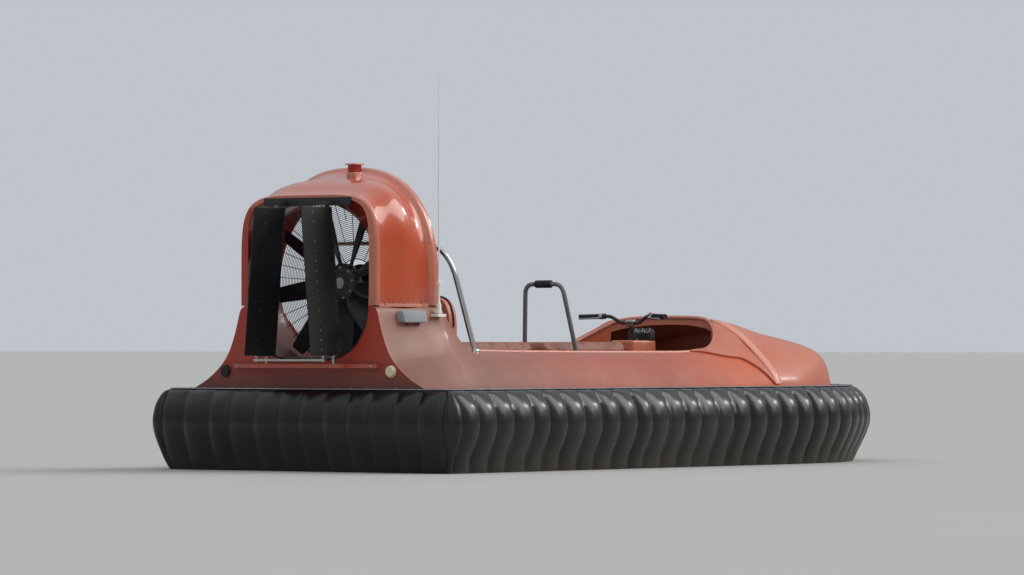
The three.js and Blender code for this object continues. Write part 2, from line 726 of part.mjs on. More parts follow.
// Exhaust silencer across the craft behind the seat back, carried on the engine's flank
const silencer = joined([
  rod([-420, -1706, 400], [-210, -1706, 400], 78, 20),
  rod([-214, -1706, 400], [-170.5, -1706, 400], 26, 12),
  rod([-380, -1706, 330], [-380, -1706, WELL_FLOOR_Z + GAP], 22, 8),
  rod([-330, -1740, 430], [-330, -1900, 470], 24, 12),
]);
add("exhaust_silencer", geometryOf(silencer), darkSteel);

// Rudders: each hangs between the shelf under the outlet and the beam across its top
const SHELF_Z = [630, 655];
const BEAM_Z = [1622, 1642];
const PIN_R = 9;
const TIE_PIN_R = 6;
const TIE_Z = [672, 684];
const RUDDER_OUTLINE = [
  [0, RUDDER_NOSE],
  [RUDDER_HALF_THICK * 0.7, RUDDER_NOSE - 12],
  [RUDDER_HALF_THICK, RUDDER_NOSE - 50],
  [RUDDER_HALF_THICK * 0.95, -70],
  [RUDDER_HALF_THICK * 0.55, -160],
  [3, -RUDDER_TAIL],
];
function rudder() {
  const ring = [
    ...RUDDER_OUTLINE,
    ...RUDDER_OUTLINE.slice(1).reverse().map(([x, y]) => [-x, y]),
  ];
  const [low, high] = [RUDDER_LOW_Z - RUDDER_MID.z, RUDDER_HIGH_Z - RUDDER_MID.z];
  const vane = loft([low, high].map((z) => ring.map(([x, y]) => [x, y, z])));
  return geometryOf(
    joined([
      vane,
      rod([0, 0, SHELF_Z[0] + 3 - RUDDER_MID.z], [0, 0, low + 20], PIN_R, 12),
      rod([0, 0, high - 20], [0, 0, BEAM_Z[1] - 1 - RUDDER_MID.z], PIN_R, 12),
      rod([0, -HORN_ARM, TIE_Z[0] - 9 - RUDDER_MID.z], [0, -HORN_ARM, low + 20], TIE_PIN_R, 12),
    ]),
  );
}
for (const [name, sign] of [["port", -1], ["starboard", 1]]) {
  const vane = add(`rudder_${name}`, rudder(), rudderBlack);
  vane.position.set(sign * RUDDER_MID.x, RUDDER_MID.y, RUDDER_MID.z);
  vane.rotation.y = -sign * RUDDER_LEAN;
}
const leanX = (z) => RUDDER_MID.x + (RUDDER_MID.z - z) * Math.tan(RUDDER_LEAN);
function pinnedPlate(pieces, y, radius) {
  const holes = [-1, 1].map((sign) =>
    solid(rod([sign * leanX(500), y, 500], [sign * leanX(1800), y, 1800], radius, 16)),
  );
  return geometryOf(holes.reduce((body, hole) => body.subtract(hole), joined(pieces)));
}
const BRACKET_AFT_Y = RUDDER_MID.y - 34;
add(
  "rudder_shelf",
  pinnedPlate(
    [
      box(-560, 560, REAR_FACE_Y - 34, REAR_FACE_Y - GAP, ...SHELF_Z),
      box(-340, 340, BRACKET_AFT_Y, REAR_FACE_Y - 2, ...SHELF_Z),
    ],
    RUDDER_MID.y,
    PIN_R + 0.6,
  ),
  orange,
);
const lugX = leanX((BEAM_Z[0] + BEAM_Z[1]) / 2);
const beamLugs = [-1, 1].map((sign) =>
  box(sign * lugX - 30, sign * lugX + 30, BRACKET_AFT_Y, REAR_FACE_Y - 2, ...BEAM_Z),
);
add(
  "rudder_beam",
  pinnedPlate(
    [box(-340, 340, REAR_FACE_Y - 12, REAR_FACE_Y - GAP, BEAM_Z[0] - 6, BEAM_Z[1] + 24), ...beamLugs],
    RUDDER_MID.y,
    PIN_R + 0.6,
  ),
  darkSteel,
);
const TIE_Y = RUDDER_MID.y - HORN_ARM;
const tieEndX = leanX(TIE_Z[0]) + 15;
add(
  "rudder_tie_bar",
  pinnedPlate([box(-tieEndX, tieEndX, TIE_Y - 13, TIE_Y + 13, ...TIE_Z)], TIE_Y, TIE_PIN_R + 1),
  steel,
);

// Straddle seats along the middle of the well, and the console ahead of them
function block(x, y0, y1, z0, z1, round, draft = 0) {
  const ring = (z, halfWidth, grow) => {
    const points = [];
    const corners = [
      [1, y0 - grow, 1],
      [1, y1 + grow, -1],
      [-1, y1 + grow, -1],
      [-1, y0 - grow, 1],
    ];
    corners.forEach(([side, y, inward], i) => {
      const cut = [
        [side * (halfWidth - round), y, z],
        [side * halfWidth, y + inward * round, z],
      ];
      points.push(...(i % 2 === 0 ? cut : cut.reverse()));
    });
    return points;
  };
  const soft = Math.min(round, (z1 - z0) * 0.35);
  return loft([
    ring(z0, x, 0),
    ring(z1 - soft, x - draft, -draft),
    ring(z1, x - draft - soft * 0.7, -draft - soft * 0.7),
  ]);
}
const FLOOR = WELL_FLOOR_Z + GAP;
const SEAT_BASE_TOP = 668;
add("seat_pod", block(178, -1290, 640, FLOOR, SEAT_BASE_TOP, 30, 14), orange);
add("seat_cushion_rear", block(160, -1262, -400, SEAT_BASE_TOP + GAP, 790, 40, 6), vinyl);
add("seat_cushion_front", block(160, -330, 600, SEAT_BASE_TOP + GAP, 790, 40, 6), vinyl);
add("seat_back", block(205, -1370, -1291, FLOOR, 1070, 18, 4), orange);
const STEER_POINT = [0, 850, 800];
const STEER_WAY = [0, -0.3, Math.sqrt(1 - 0.09)];
const alongStem = (d) => STEER_POINT.map((v, i) => v + d * STEER_WAY[i]);
const consoleBody = solid(block(105, 700, 990, FLOOR, 800, 26, 12)).subtract(
  solid(rod(alongStem(-60), alongStem(60), 16.6, 20)),
);
add("console", geometryOf(consoleBody), orange);
add("instrument_pod", block(92, 905, 965, 800 + GAP, 880, 14, 6), fanBlack);

// Handlebar on a stem that leans back towards the driver
const barMiddle = alongStem(118);
function handlebar() {
  const [, y, z] = barMiddle;
  const half = [
    [0, y, z],
    [70, y, z],
    [150, y - 20, z + 46],
    [345, y - 92, z + 40],
  ];
  const bar = [...half.slice(1).reverse().map(([x, by, bz]) => [-x, by, bz]), ...half.slice(1)];
  return geometryOf(joined([bentTube(bar, 26, 12), rod(alongStem(-46), alongStem(124), 16, 20)]));
}
add("handlebar", handlebar(), darkSteel);
function grip(sign) {
  const [, y, z] = barMiddle;
  const [from, to] = [
    new THREE.Vector3(sign * 150, y - 20, z + 46),
    new THREE.Vector3(sign * 345, y - 92, z + 40),
  ];
  const at = (share) => from.clone().lerp(to, share).toArray();
  const body = solid(rod(at(0.38), at(1.02), 18, 12)).subtract(solid(rod(at(0.2), at(1.0015), 12.6, 12)));
  return geometryOf(body);
}
add("grip_port", grip(-1), rubber);
add("grip_starboard", grip(1), rubber);

// Grab hoop for the passenger, with a padded grip over its top
const GRAB_TOP = [0, -128, 1160];
const grabPoints = [
  [266, 12, FLOOR + 7],
  [146, GRAB_TOP[1], GRAB_TOP[2]],
  [-146, GRAB_TOP[1], GRAB_TOP[2]],
  [-266, 12, FLOOR + 7],
];
const grabFeet = [-1, 1].map((sign) =>
  rod([sign * 266, 12, FLOOR], [sign * 266, 12, FLOOR + 10], 38, 16),
);
add("grab_hoop", geometryOf(joined([bentTube(grabPoints, 62, 15, 10), ...grabFeet])), darkSteel);
const sleeve = solid(rod([-62, GRAB_TOP[1], GRAB_TOP[2]], [62, GRAB_TOP[1], GRAB_TOP[2]], 25, 14)).subtract(
  solid(rod([-80, GRAB_TOP[1], GRAB_TOP[2]], [80, GRAB_TOP[1], GRAB_TOP[2]], 15.5, 14)),
);
add("grab_hoop_grip", geometryOf(sleeve), rubber);

// Guard hoop between the crew and the fan, standing on the side decks
const HOOP_FOOT = [652, -1690];
const deckTopAt = (x, y) => {
  const rows = DECK_SECTIONS;
  const i = rows.findIndex((row) => row[0] > y);
  const t = (y - rows[i - 1][0]) / (rows[i][0] - rows[i - 1][0]);
  const mix = (a, b) => a + (b - a) * t;
  const across = [3, 4, 5, 6].map((k) => [0, 1].map((c) => mix(rows[i - 1][k][c], rows[i][k][c])));
  const j = Math.max(1, across.findIndex(([px]) => px > x));
  const u = (x - across[j - 1][0]) / (across[j][0] - across[j - 1][0]);
  return across[j - 1][1] + (across[j][1] - across[j - 1][1]) * u;
};
const hoopFootZ = deckTopAt(...HOOP_FOOT);
const hoopPoints = [
  [HOOP_FOOT[0], HOOP_FOOT[1], hoopFootZ],
  [526, -1812, 1402],
  [-526, -1812, 1402],
  [-HOOP_FOOT[0], HOOP_FOOT[1], hoopFootZ],
];
const hoopFeet = [-1, 1].map((sign) =>
  rod(
    [sign * HOOP_FOOT[0], HOOP_FOOT[1], hoopFootZ - 14],
    [sign * HOOP_FOOT[0], HOOP_FOOT[1], hoopFootZ + 14],
    30,
    16,
  ),
);
const hoop = joined([bentTube(hoopPoints, 230, 17, 10, 6), ...hoopFeet]).subtract(deckGrown);
add("guard_hoop", geometryOf(hoop), steel);

// Fittings on the starboard wall of the pedestal. The wall leans and narrows towards the stern.
function wallX(y, z) {
  const t = (y - REAR_FACE_Y) / (DUCT_FRONT_Y - REAR_FACE_Y);
  const rim = 532 + (655 - 532) * t;
  const flare = [578 + (690 - 578) * t, 835 + (850 - 835) * t];
  return rim + ((flare[0] - rim) * (1010 - z)) / (1010 - flare[1]);
}
function wallBlock(y0, y1, z0, z1, thick, flatX = null) {
  const ring = (z) => [
    [wallX(y0, z) - 10, y0, z],
    [flatX ?? wallX(y0, z) + thick, y0, z],
    [flatX ?? wallX(y1, z) + thick, y1, z],
    [wallX(y1, z) - 10, y1, z],
  ];
  return geometryOf(solid(loft([ring(z0), ring(z1)])).subtract(deckGrown));
}
add("control_box", wallBlock(-2382, -2218, 905, 980, 52), engineGrey);
const WHIP = [690, -2098];
add("antenna_bracket", wallBlock(WHIP[1] - 40, WHIP[1] + 40, 942, 958, 0, WHIP[0] + 26), white);
const whip = joined([
  rod([...WHIP, 958 + GAP], [...WHIP, 1030], 17, 12),
  rod([...WHIP, 1020], [...WHIP, 1140], 7, 8),
  rod([...WHIP, 1130], [...WHIP, 1165], 12, 8, 8),
  rod([...WHIP, 1155], [...WHIP, 2420], 5.5, 6, 2.5),
]);
add("antenna_whip", geometryOf(whip), white);

// Round caps on the stern panel, and the lamp on top of the cowl
for (const [name, sign] of [["port", -1], ["starboard", 1]]) {
  const from = [sign * 650, REAR_FACE_Y - GAP, 610];
  const cap = rod(from, [from[0], from[1] - 22, from[2]], 38, 20, 32);
  add(`stern_cap_${name}`, cap, sign < 0 ? rubber : lampClear);
}
const cowlGrown = solid(
  loft(
    COWL_SECTIONS.map(([y, halfWidth, top, power]) =>
      boxSection(y, halfWidth + 0.4, top + 0.4, 2 * DUCT_AXIS_Z - top, power, power),
    ),
  ),
);
const lamp = solid(box(48, 132, -2215, -2122, 1700, 1882)).subtract(cowlGrown);
add("cowl_lamp", geometryOf(lamp), lampRed);

export default craft;
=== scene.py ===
"""Small open hovercraft with a ducted fan, dressed around its packed construction model.

Every length is in metres in the craft's own frame: +X starboard, +Y ahead, +Z up, with the
origin on the ground under the middle of the craft.
"""

import math

import bmesh
import bpy
import numpy as np
from bpy.props import FloatProperty, FloatVectorProperty, IntProperty, PointerProperty
from mathutils import Matrix, Vector


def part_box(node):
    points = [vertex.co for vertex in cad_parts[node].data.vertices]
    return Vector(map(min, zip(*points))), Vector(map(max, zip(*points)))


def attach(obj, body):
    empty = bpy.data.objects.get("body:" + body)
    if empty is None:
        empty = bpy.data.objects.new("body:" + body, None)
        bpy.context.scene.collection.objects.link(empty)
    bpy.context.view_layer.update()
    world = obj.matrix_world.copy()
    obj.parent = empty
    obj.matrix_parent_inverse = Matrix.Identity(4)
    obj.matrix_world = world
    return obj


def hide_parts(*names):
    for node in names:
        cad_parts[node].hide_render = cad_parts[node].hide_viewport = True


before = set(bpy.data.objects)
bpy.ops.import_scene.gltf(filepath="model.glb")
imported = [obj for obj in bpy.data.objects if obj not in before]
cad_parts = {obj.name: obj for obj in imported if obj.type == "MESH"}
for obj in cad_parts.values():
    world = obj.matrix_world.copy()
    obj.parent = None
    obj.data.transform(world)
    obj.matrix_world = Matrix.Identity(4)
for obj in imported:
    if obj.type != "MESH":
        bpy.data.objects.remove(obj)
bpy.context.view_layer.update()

bl_info = {
    "name": "Light hovercraft",
    "version": (1, 0, 0),
    "blender": (4, 5, 0),
    "location": "3D View > Sidebar > Hovercraft",
    "description": "Builds a small open hovercraft with a segmented skirt and a ducted fan",
    "category": "Add Mesh",
}

MM = 0.001

# Places that several mouldings share
DUCT_AXIS = 1.150
DUCT_FRONT = -2.050
# The handlebar's stem, up from where it enters the console
STEM_FOOT = (0, 0.850, 0.800)
STEM_WAY = (0, -0.3, 0.95394)
# The two sides of the craft, with the sign of X there
SIDES = (("port", -1), ("starboard", 1))


def linear(hex_colour):
    """An sRGB hex colour as linear red, green and blue."""
    parts = [int(hex_colour[i : i + 2], 16) / 255 for i in (1, 3, 5)]
    return [c / 12.92 if c <= 0.04045 else ((c + 0.055) / 1.055) ** 2.4 for c in parts]


def length(name, description, default):
    return FloatProperty(
        name=name, description=description, default=default, unit="LENGTH", precision=4
    )


def colour(name, description, hex_colour):
    return FloatVectorProperty(
        name=name,
        description=description,
        subtype="COLOR",
        size=3,
        min=0,
        max=1,
        default=linear(hex_colour),
    )


def number(name, description, default):
    return IntProperty(name=name, description=description, default=default, min=1)


def angle(name, description, default):
    return FloatProperty(name=name, description=description, default=default, unit="ROTATION")


def strength(name, description, default):
    return FloatProperty(name=name, description=description, default=default, min=0)


def high(node):
    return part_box(node)[1]


def low(node):
    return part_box(node)[0]


def middle(node):
    return (low(node) + high(node)) / 2


class HullSizes(bpy.types.PropertyGroup):
    """Sizes of the hull, the deck mouldings and the cockpit"""

    half_width: length("Half beam", "Centreline to the skirt's fullest line", 1.225)
    stern_y: length("Stern", "Aftmost line of the skirt", -2.620)
    bow_y: length("Bow", "Foremost point of the skirt", high("skirt_bow").y)
    bulge: length("Bulge", "How far the skirt stands outside the hull flange", 0.130)
    stern_bulge: length("Stern bulge", "The same at the stern", 0.100)
    bow_run: length("Bow run", "Length over which the plan rounds into the bow", 1.600)
    stern_corner: length("Stern corner", "Plan radius of the skirt's stern corners", 0.120)
    flange_top: length("Flange top", "Height of the flange that the skirt hangs from", 0.500)
    flange_low: length("Flange underside", "Height of the flange's underside", 0.480)
    deck_margin: length("Deck margin", "Flat strip outside the raised deck", 0.145)
    deck_foot: length("Deck foot", "Height of the raised deck's foot", 0.505)
    well_half: length("Well half width", "Centreline to the cockpit's side wall", 0.600)
    well_front: length("Well front", "Foremost point of the cockpit opening", 1.255)
    well_floor: length("Well floor", "Height of the cockpit floor", 0.300)
    joint_y: length("Foredeck joint", "Where the foredeck laps over the side decks", 1.150)
    proud: length("Foredeck lap", "How far the foredeck stands over the side decks", 0.010)
    coaming: length("Coaming roll", "Radius of the rolled edge round the cockpit", 0.013)
    rib_width: length("Rib width", "Width of the raised rib along the foredeck joint", 0.080)
    rib_height: length("Rib height", "Height of that rib", 0.011)


class SkirtSizes(bpy.types.PropertyGroup):
    """Sizes of the segmented skirt"""

    stern_segments: number("Stern segments", "Skirt segments across the stern", 12)
    side_segments: number("Side segments", "Skirt segments along each side", 21)
    groove: length("Seam groove", "Depth of the valley between two segments", 0.033)
    pucker: length("Pucker", "Height of the small folds beside each seam", 0.0022)
    rail_height: length("Rail height", "Height of the strip that clamps the skirt", 0.034)
    rail_thick: length("Rail thickness", "Thickness of that strip", 0.006)
    screw_step: length("Screw spacing", "Distance between the strip's screws", 0.115)


class DuctSizes(bpy.types.PropertyGroup):
    """Sizes of the duct, the fan and the rudders"""

    rear_y: length("Outlet", "Rear face of the duct", -2.510)
    front_y: length("Inlet", "Front face of the duct", DUCT_FRONT)
    seam_z: length("Cowl seam", "Height where the cowl bolts to the deck", 1.010)
    axis_z: length("Duct axis", "Height of the fan's axis", DUCT_AXIS)
    fan_r: length("Fan radius", "Radius at the blades' tips", 0.560)
    fan_y: length("Fan plane", "Middle of the fan", -2.155)
    outlet_half: length("Outlet half width", "Half width of the outlet", 0.476)
    outlet_top: length("Outlet top", "Height of the outlet's upper edge", 1.658)
    outlet_low: length("Outlet floor", "Height of the outlet's lower edge", 0.675)
    blades: number("Blades", "Number of fan blades", 9)
    guard_spokes: number("Guard spokes", "Radial wires of the inlet guard", 48)


class Finish(bpy.types.PropertyGroup):
    """Colours of the craft and the stage"""

    orange: colour("Orange", "Gelcoat that has kept its gloss", "#c4470e")
    deck: colour("Deck orange", "Gelcoat of the side decks", "#ac452b")
    deck_aft: colour("Dusty deck", "Gelcoat near the stern, dulled by spray", "#8a5442")
    deck_fore: colour("Deck orange ahead", "Gelcoat of the side decks by the foredeck", "#d65812")
    hood: colour("Hood orange", "Gelcoat of the foredeck", "#c56440")
    # Painted highlight: paler gelcoat for the raised rib, rolled edges and seam flanges; the lamp's
    # lid takes it too
    lap: colour("Rubbed edges", "Gelcoat of the foredeck's rib and the rolled edge", "#e2937b")
    # The pale that fading, the painted highlights and the painted sky light blend towards
    faded_and_lit: colour("Faded orange", "Gelcoat bleached by the sun", "#cf8872")
    # Painted shade: deeper red for aft faces, the ledge under the rudders and the duct's inner
    # walls
    aft_shade_red: colour("Stern red", "Deeper gelcoat on the stern panel", "#ac321f")
    hull: colour("Hull", "Flowcoat inside and under the hull", "#4d5255")
    skirt: colour("Skirt", "Coated fabric of the skirt", "#07090c")
    mud: colour("Mud", "Dried estuary mud", "#574c40")
    vane: colour("Vanes", "Rudders and fan blades", "#0b0d0f")
    vinyl: colour("Vinyl", "Seat covers", "#743f29")
    floor: colour("Floor", "Studio floor", "#b3b2ad")
    sky: colour("Surround", "Light from all round", "#dde3ea")


class StageSizes(bpy.types.PropertyGroup):
    """Camera, floor and lamps"""

    camera_x: length("Camera X", "Where the camera stands", 22.311)
    camera_y: length("Camera Y", "Where the camera stands", -29.690)
    camera_z: length("Camera Z", "Height of the camera", 0.779)
    yaw: angle("Yaw", "Turn from dead ahead", 0.6520)
    pitch: angle("Pitch", "Tilt above level", 0.0097)
    lens: strength("Lens", "Focal length in millimetres", 203.0)
    floor_half: length("Floor", "Half width of the studio floor", 400.0)
    horizon: strength("Horizon", "Light from low all round", 0.26)
    overhead: strength("Overhead", "Light from straight above", 1.0)
    backdrop: strength("Backdrop", "Brightness of the surround as it is seen", 0.72)
    key: strength("Key", "Main lamp, high to starboard ahead", 1.38)
    glint: strength("Glint", "Small lamp that streaks the cowl and skirt", 0.42)
    fill: strength("Fill", "Soft lamp astern", 0.18)


# Curves and outlines


def mix(a, b, t):
    return a + (b - a) * t


def eased(values, rounds):
    """Draws each number or point towards its neighbours, in place; the ends stay."""
    for _ in range(rounds):
        values[1:-1] = (values[:-2] + 2 * values[1:-1] + values[2:]) / 4


def rounded(points, radii, steps):
    """A line of points with each inner corner swept round; every corner gives steps + 1 points."""
    points = [np.array(p, float) for p in points]
    line = [points[0]]
    for i in range(1, len(points) - 1):
        back, ahead = points[i - 1] - points[i], points[i + 1] - points[i]
        reach_back = min(radii[i - 1], 0.49 * np.linalg.norm(back))
        reach_ahead = min(radii[i - 1], 0.49 * np.linalg.norm(ahead))
        start = points[i] + back / max(np.linalg.norm(back), 1e-9) * reach_back
        end = points[i] + ahead / max(np.linalg.norm(ahead), 1e-9) * reach_ahead
        for k in range(steps + 1):
            t = k / steps
            line.append((1 - t) ** 2 * start + 2 * t * (1 - t) * points[i] + t**2 * end)
    line.append(points[-1])
    return np.array(line)


def smooth_line(points, steps):
    """A smooth line through points, with steps stretches between each pair."""
    p = np.array(points, float)
    p = np.vstack([2 * p[0] - p[1], p, 2 * p[-1] - p[-2]])
    line = []
    for i in range(1, len(p) - 2):
        for k in range(steps):
            t = k / steps
            line.append(
                0.5
                * (
                    2 * p[i]
                    + (p[i + 1] - p[i - 1]) * t
                    + (2 * p[i - 1] - 5 * p[i] + 4 * p[i + 1] - p[i + 2]) * t**2
                    + (3 * p[i] - p[i - 1] - 3 * p[i + 1] + p[i + 2]) * t**3
                )
            )
    line.append(p[-2])
    return np.array(line)


def even(line, count):
    """The same line with count points evenly along it."""
    line = np.array(line, float)
    run = np.concatenate([[0], np.cumsum(np.linalg.norm(np.diff(line, axis=0), axis=1))])
    at = np.linspace(0, run[-1], count)
    return np.column_stack([np.interp(at, run, line[:, k]) for k in range(line.shape[1])])


def flowing(stations, values, at):
    """Values at a place between stations, on a smooth curve that never overshoots them."""
    stations, values = np.array(stations, float), np.array(values, float)
    gap = np.diff(stations)
    rise = np.diff(values, axis=0) / gap[:, None]
    slope = np.zeros_like(values)
    slope[0], slope[-1] = rise[0], rise[-1]
    before, after = rise[:-1], rise[1:]
    w1 = (2 * gap[1:] + gap[:-1])[:, None]
    w2 = (gap[1:] + 2 * gap[:-1])[:, None]
    same = before * after > 0
    safe = np.where(same, w1 / np.where(same, before, 1) + w2 / np.where(same, after, 1), 1)
    slope[1:-1] = np.where(same, (w1 + w2) / safe, 0)
    i = int(np.clip(np.searchsorted(stations, at) - 1, 0, len(gap) - 1))
    t = (at - stations[i]) / gap[i]
    h = gap[i]
    return (
        (1 + 2 * t) * (1 - t) ** 2 * values[i]
        + t * (1 - t) ** 2 * h * slope[i]
        + t**2 * (3 - 2 * t) * values[i + 1]
        + t**2 * (t - 1) * h * slope[i + 1]
    )


# Mesh building


def circle(count, start=0.0, radius=1.0):
    """Pairs evenly round a circle; start is a share of the step between two."""
    turns = [2 * math.pi * (k + start) / count for k in range(count)]
    return [(radius * math.cos(a), radius * math.sin(a)) for a in turns]


def upright_to(axis):
    """The turn that takes upright to an axis."""
    return Vector((0, 0, 1)).rotation_difference(Vector(axis)).to_matrix()


class Shape:
    """Points and faces collected for one piece; paint is the material that new faces take."""

    def __init__(self):
        self.points, self.faces, self.paints = [], [], []
        self.paint = 0

    def add(self, points, faces):
        base = len(self.points)
        self.points.extend(tuple(map(float, p)) for p in points)
        self.faces.extend(tuple(base + i for i in face) for face in faces)
        self.paints.extend([self.paint] * len(faces))

    def loft(self, rings, closed=False):
        """A skin through rings of equal count, capped, or closed from the last to the first."""
        count, n = len(rings), len(rings[0])
        faces = []
        for r in range(count if closed else count - 1):
            a, b = r * n, ((r + 1) % count) * n
            faces += [(a + i, a + (i + 1) % n, b + (i + 1) % n, b + i) for i in range(n)]
        if not closed:
            faces += [tuple(reversed(range(n))), tuple(range((count - 1) * n, count * n))]
        self.add([p for ring in rings for p in ring], faces)

    def tube(self, path, radius, sides, closed=False):
        """A round tube along a path; radius may be one number or one for each point."""
        path = np.array(path, float)
        radii = np.broadcast_to(radius, len(path))
        ahead = np.roll(path, -1, axis=0) - path
        behind = path - np.roll(path, 1, axis=0)
        if not closed:
            ahead[-1], behind[0] = behind[-1], ahead[0]
        way = ahead + behind
        way /= np.linalg.norm(way, axis=1)[:, None]
        side = np.array([0.0, 0.0, 1.0]) if abs(way[0][2]) < 0.9 else np.array([0.0, 1.0, 0.0])
        rings = []
        for p, w, r in zip(path, way, radii):
            side = side - w * side.dot(w)
            side /= np.linalg.norm(side)
            third = np.cross(w, side)
            turns = 2 * np.pi * (np.arange(sides) + 0.5) / sides
            rings.append(p + np.outer(np.cos(turns) * r, side) + np.outer(np.sin(turns) * r, third))
        self.loft(rings, closed=closed)

    def rod(self, a, b, radius, sides):
        """A straight round bar with edges broken by 1 mm, or less where it is thin or short."""
        a, b = np.array(a, float), np.array(b, float)
        span = np.linalg.norm(b - a)
        c = min(MM, 0.3 * span, 0.5 * radius)
        way = (b - a) / span
        radii = [radius - c, radius, radius, radius - c]
        self.tube([a, a + way * c, b - way * c, b], radii, sides)

    def lathe(self, profile, centre, axis, steps):
        """Turns a profile of (radius, height) pairs about an axis through centre."""
        turn = upright_to(axis)
        rings = []
        for r, h in profile:
            ring = [(r * x, r * y, h) for x, y in circle(steps)]
            rings.append([turn @ Vector(p) + Vector(centre) for p in ring])
        self.loft(rings)

    def ring_turned(self, profile, centre, axis, steps):
        """Turns a closed profile that stays off the axis, for a body with a hole through it."""
        turn = upright_to(axis)
        rings = []
        for x, y in circle(steps):
            ring = [(r * x, r * y, h) for r, h in profile]
            rings.append([turn @ Vector(p) + Vector(centre) for p in ring])
        self.loft(rings, closed=True)

    def block(self, lo, hi, edge, frame_of=None):
        """A box with rounded upright edges and softened top and bottom."""
        lo, hi = np.array(lo, float), np.array(hi, float)
        edge = min(edge, 0.45 * float((hi - lo).min()))
        softened = [(0, edge * 0.7), (edge * 0.3, edge * 0.2), (edge, 0)]
        levels = [(lo[2] + up, inset) for up, inset in softened]
        levels += [(hi[2] - down, inset) for down, inset in reversed(softened)]
        rings = [[(x, y, z) for x, y in round_rect(lo, hi, edge, inset)] for z, inset in levels]
        if frame_of is not None:
            rings = [[frame_of @ Vector(p) for p in ring] for ring in rings]
        self.loft(rings)

    def plate(self, outline, a, b, frame_of, edge=0.0008):
        """A flat outline of (u, v) pairs given thickness from a to b along w."""
        outline = np.array(outline, float)
        centre = outline.mean(axis=0)
        away = outline - centre
        away /= np.linalg.norm(away, axis=1)[:, None]
        rings = []
        for w, inset in ((a, edge), (a + edge, 0), (b - edge, 0), (b, edge)):
            rings.append([frame_of @ Vector((u, v, w)) for u, v in outline - away * inset])
        self.loft(rings)

    def stud(self, at, way, steps, sides):
        """A short turned form: steps are distances along the way, each with a radius."""
        at, way = np.array(at, float), np.array(way, float)
        way /= np.linalg.norm(way)
        self.tube([at + way * h for h, _ in steps], [r for _, r in steps], sides)

    def screw(self, at, way, radius, height=0.0032):
        """A pan-head screw on its washer."""
        washer = [(-0.001, radius * 1.7), (0.0012, radius * 1.7)]
        head = [(0.0013, radius), (height * 0.7, radius * 0.95), (height, radius * 0.5)]
        self.stud(at, way, washer + head, 8)

    def bolt(self, at, way, size, height=0.0065):
        """A hexagon head on a round washer."""
        self.stud(at, way, [(-0.001, size * 0.72), (0.0018, size * 0.72)], 14)
        head = [(0.0015, size * 0.56), (height * 0.85, size * 0.56), (height, size * 0.47)]
        self.stud(at, way, head, 6)


def lofted(rings):
    shape = Shape()
    shape.loft(rings)
    return shape


def round_rect(lo, hi, corner, inset=0.0, steps=4):
    """A rectangle in plan with round corners, as a ring of points."""
    ring = []
    corner = max(corner - inset, 0.0002)
    x0, x1, y0, y1 = lo[0] + inset, hi[0] - inset, lo[1] + inset, hi[1] - inset
    for cx, cy, start in (
        (x1 - corner, y0 + corner, -90),
        (x1 - corner, y1 - corner, 0),
        (x0 + corner, y1 - corner, 90),
        (x0 + corner, y0 + corner, 180),
    ):
        for k in range(steps + 1):
            a = math.radians(start + 90 * k / steps)
            ring.append((cx + corner * math.cos(a), cy + corner * math.sin(a)))
    return ring


def mesh_from(shape):
    mesh = bpy.data.meshes.new("draft")
    mesh.from_pydata(shape.points, [], shape.faces)
    mesh.polygons.foreach_set("material_index", shape.paints)
    work = bmesh.new()
    work.from_mesh(mesh)
    bmesh.ops.recalc_face_normals(work, faces=work.faces)
    work.to_mesh(mesh)
    work.free()
    return mesh


def place(mesh, name, finishes, slot, replaces=(), sharp=35.0, body="craft"):
    """Makes the mesh a named piece that rides on a body and takes its finishes."""
    for finish in finishes.split():
        mesh.materials.append(finish_named(finish))
    mesh.shade_smooth()
    mesh.set_sharp_from_angle(angle=math.radians(sharp))
    piece = bpy.data.objects.new(name, mesh)
    mesh.name = name
    bpy.context.scene.collection.objects.link(piece)
    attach(piece, body)
    if replaces:
        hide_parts(*replaces)
    return piece


def finish_shape(shape, *look, **more):
    return place(mesh_from(shape), *look, **more)


def cut(mesh, *steps):
    """The mesh after each step, a pair of boolean operation and tool mesh."""
    subject = bpy.data.objects.new("subject", mesh)
    bpy.context.scene.collection.objects.link(subject)
    cutters = []
    for operation, tool in steps:
        cutter = bpy.data.objects.new("cutter", tool)
        bpy.context.scene.collection.objects.link(cutter)
        step = subject.modifiers.new("cut", "BOOLEAN")
        step.operation, step.solver, step.object = operation, "EXACT", cutter
        cutters.append(cutter)
    bpy.context.view_layer.update()
    graph = bpy.context.evaluated_depsgraph_get()
    result = bpy.data.meshes.new_from_object(subject.evaluated_get(graph))
    result.materials.clear()
    for o in [subject, *cutters]:
        bpy.data.objects.remove(o)
    return result


# Plan and section of the hull, shared by the deck, the hull, the skirt and the trim


def plan_shape(hull, inset):
    """Half width, stern line, bow run and corner radius of the plan outline at an inset."""
    stern_inset = inset * hull.stern_bulge / hull.bulge if inset < 0 else inset
    return (
        hull.half_width - hull.bulge - inset,
        hull.stern_y + hull.stern_bulge + stern_inset,
        hull.bow_run - hull.bulge - inset,
        max(hull.stern_corner - hull.bulge - inset, 0.030),
    )


def outline_point(hull, leg, t, inset):
    """A point of the plan outline. Bow angles run from starboard over the stem to port."""
    half, stern, run, corner = plan_shape(hull, inset)
    bow_start = hull.bow_y - hull.bow_run
    if leg == "stern":
        return (half - corner) * t, stern
    if leg == "corner":
        a = t * math.pi / 2
        return half - corner + corner * math.sin(a), stern + corner - corner * math.cos(a)
    if leg == "side":
        return half, mix(stern + corner, bow_start, t)
    return half * math.cos(t), bow_start + run * math.sin(t)


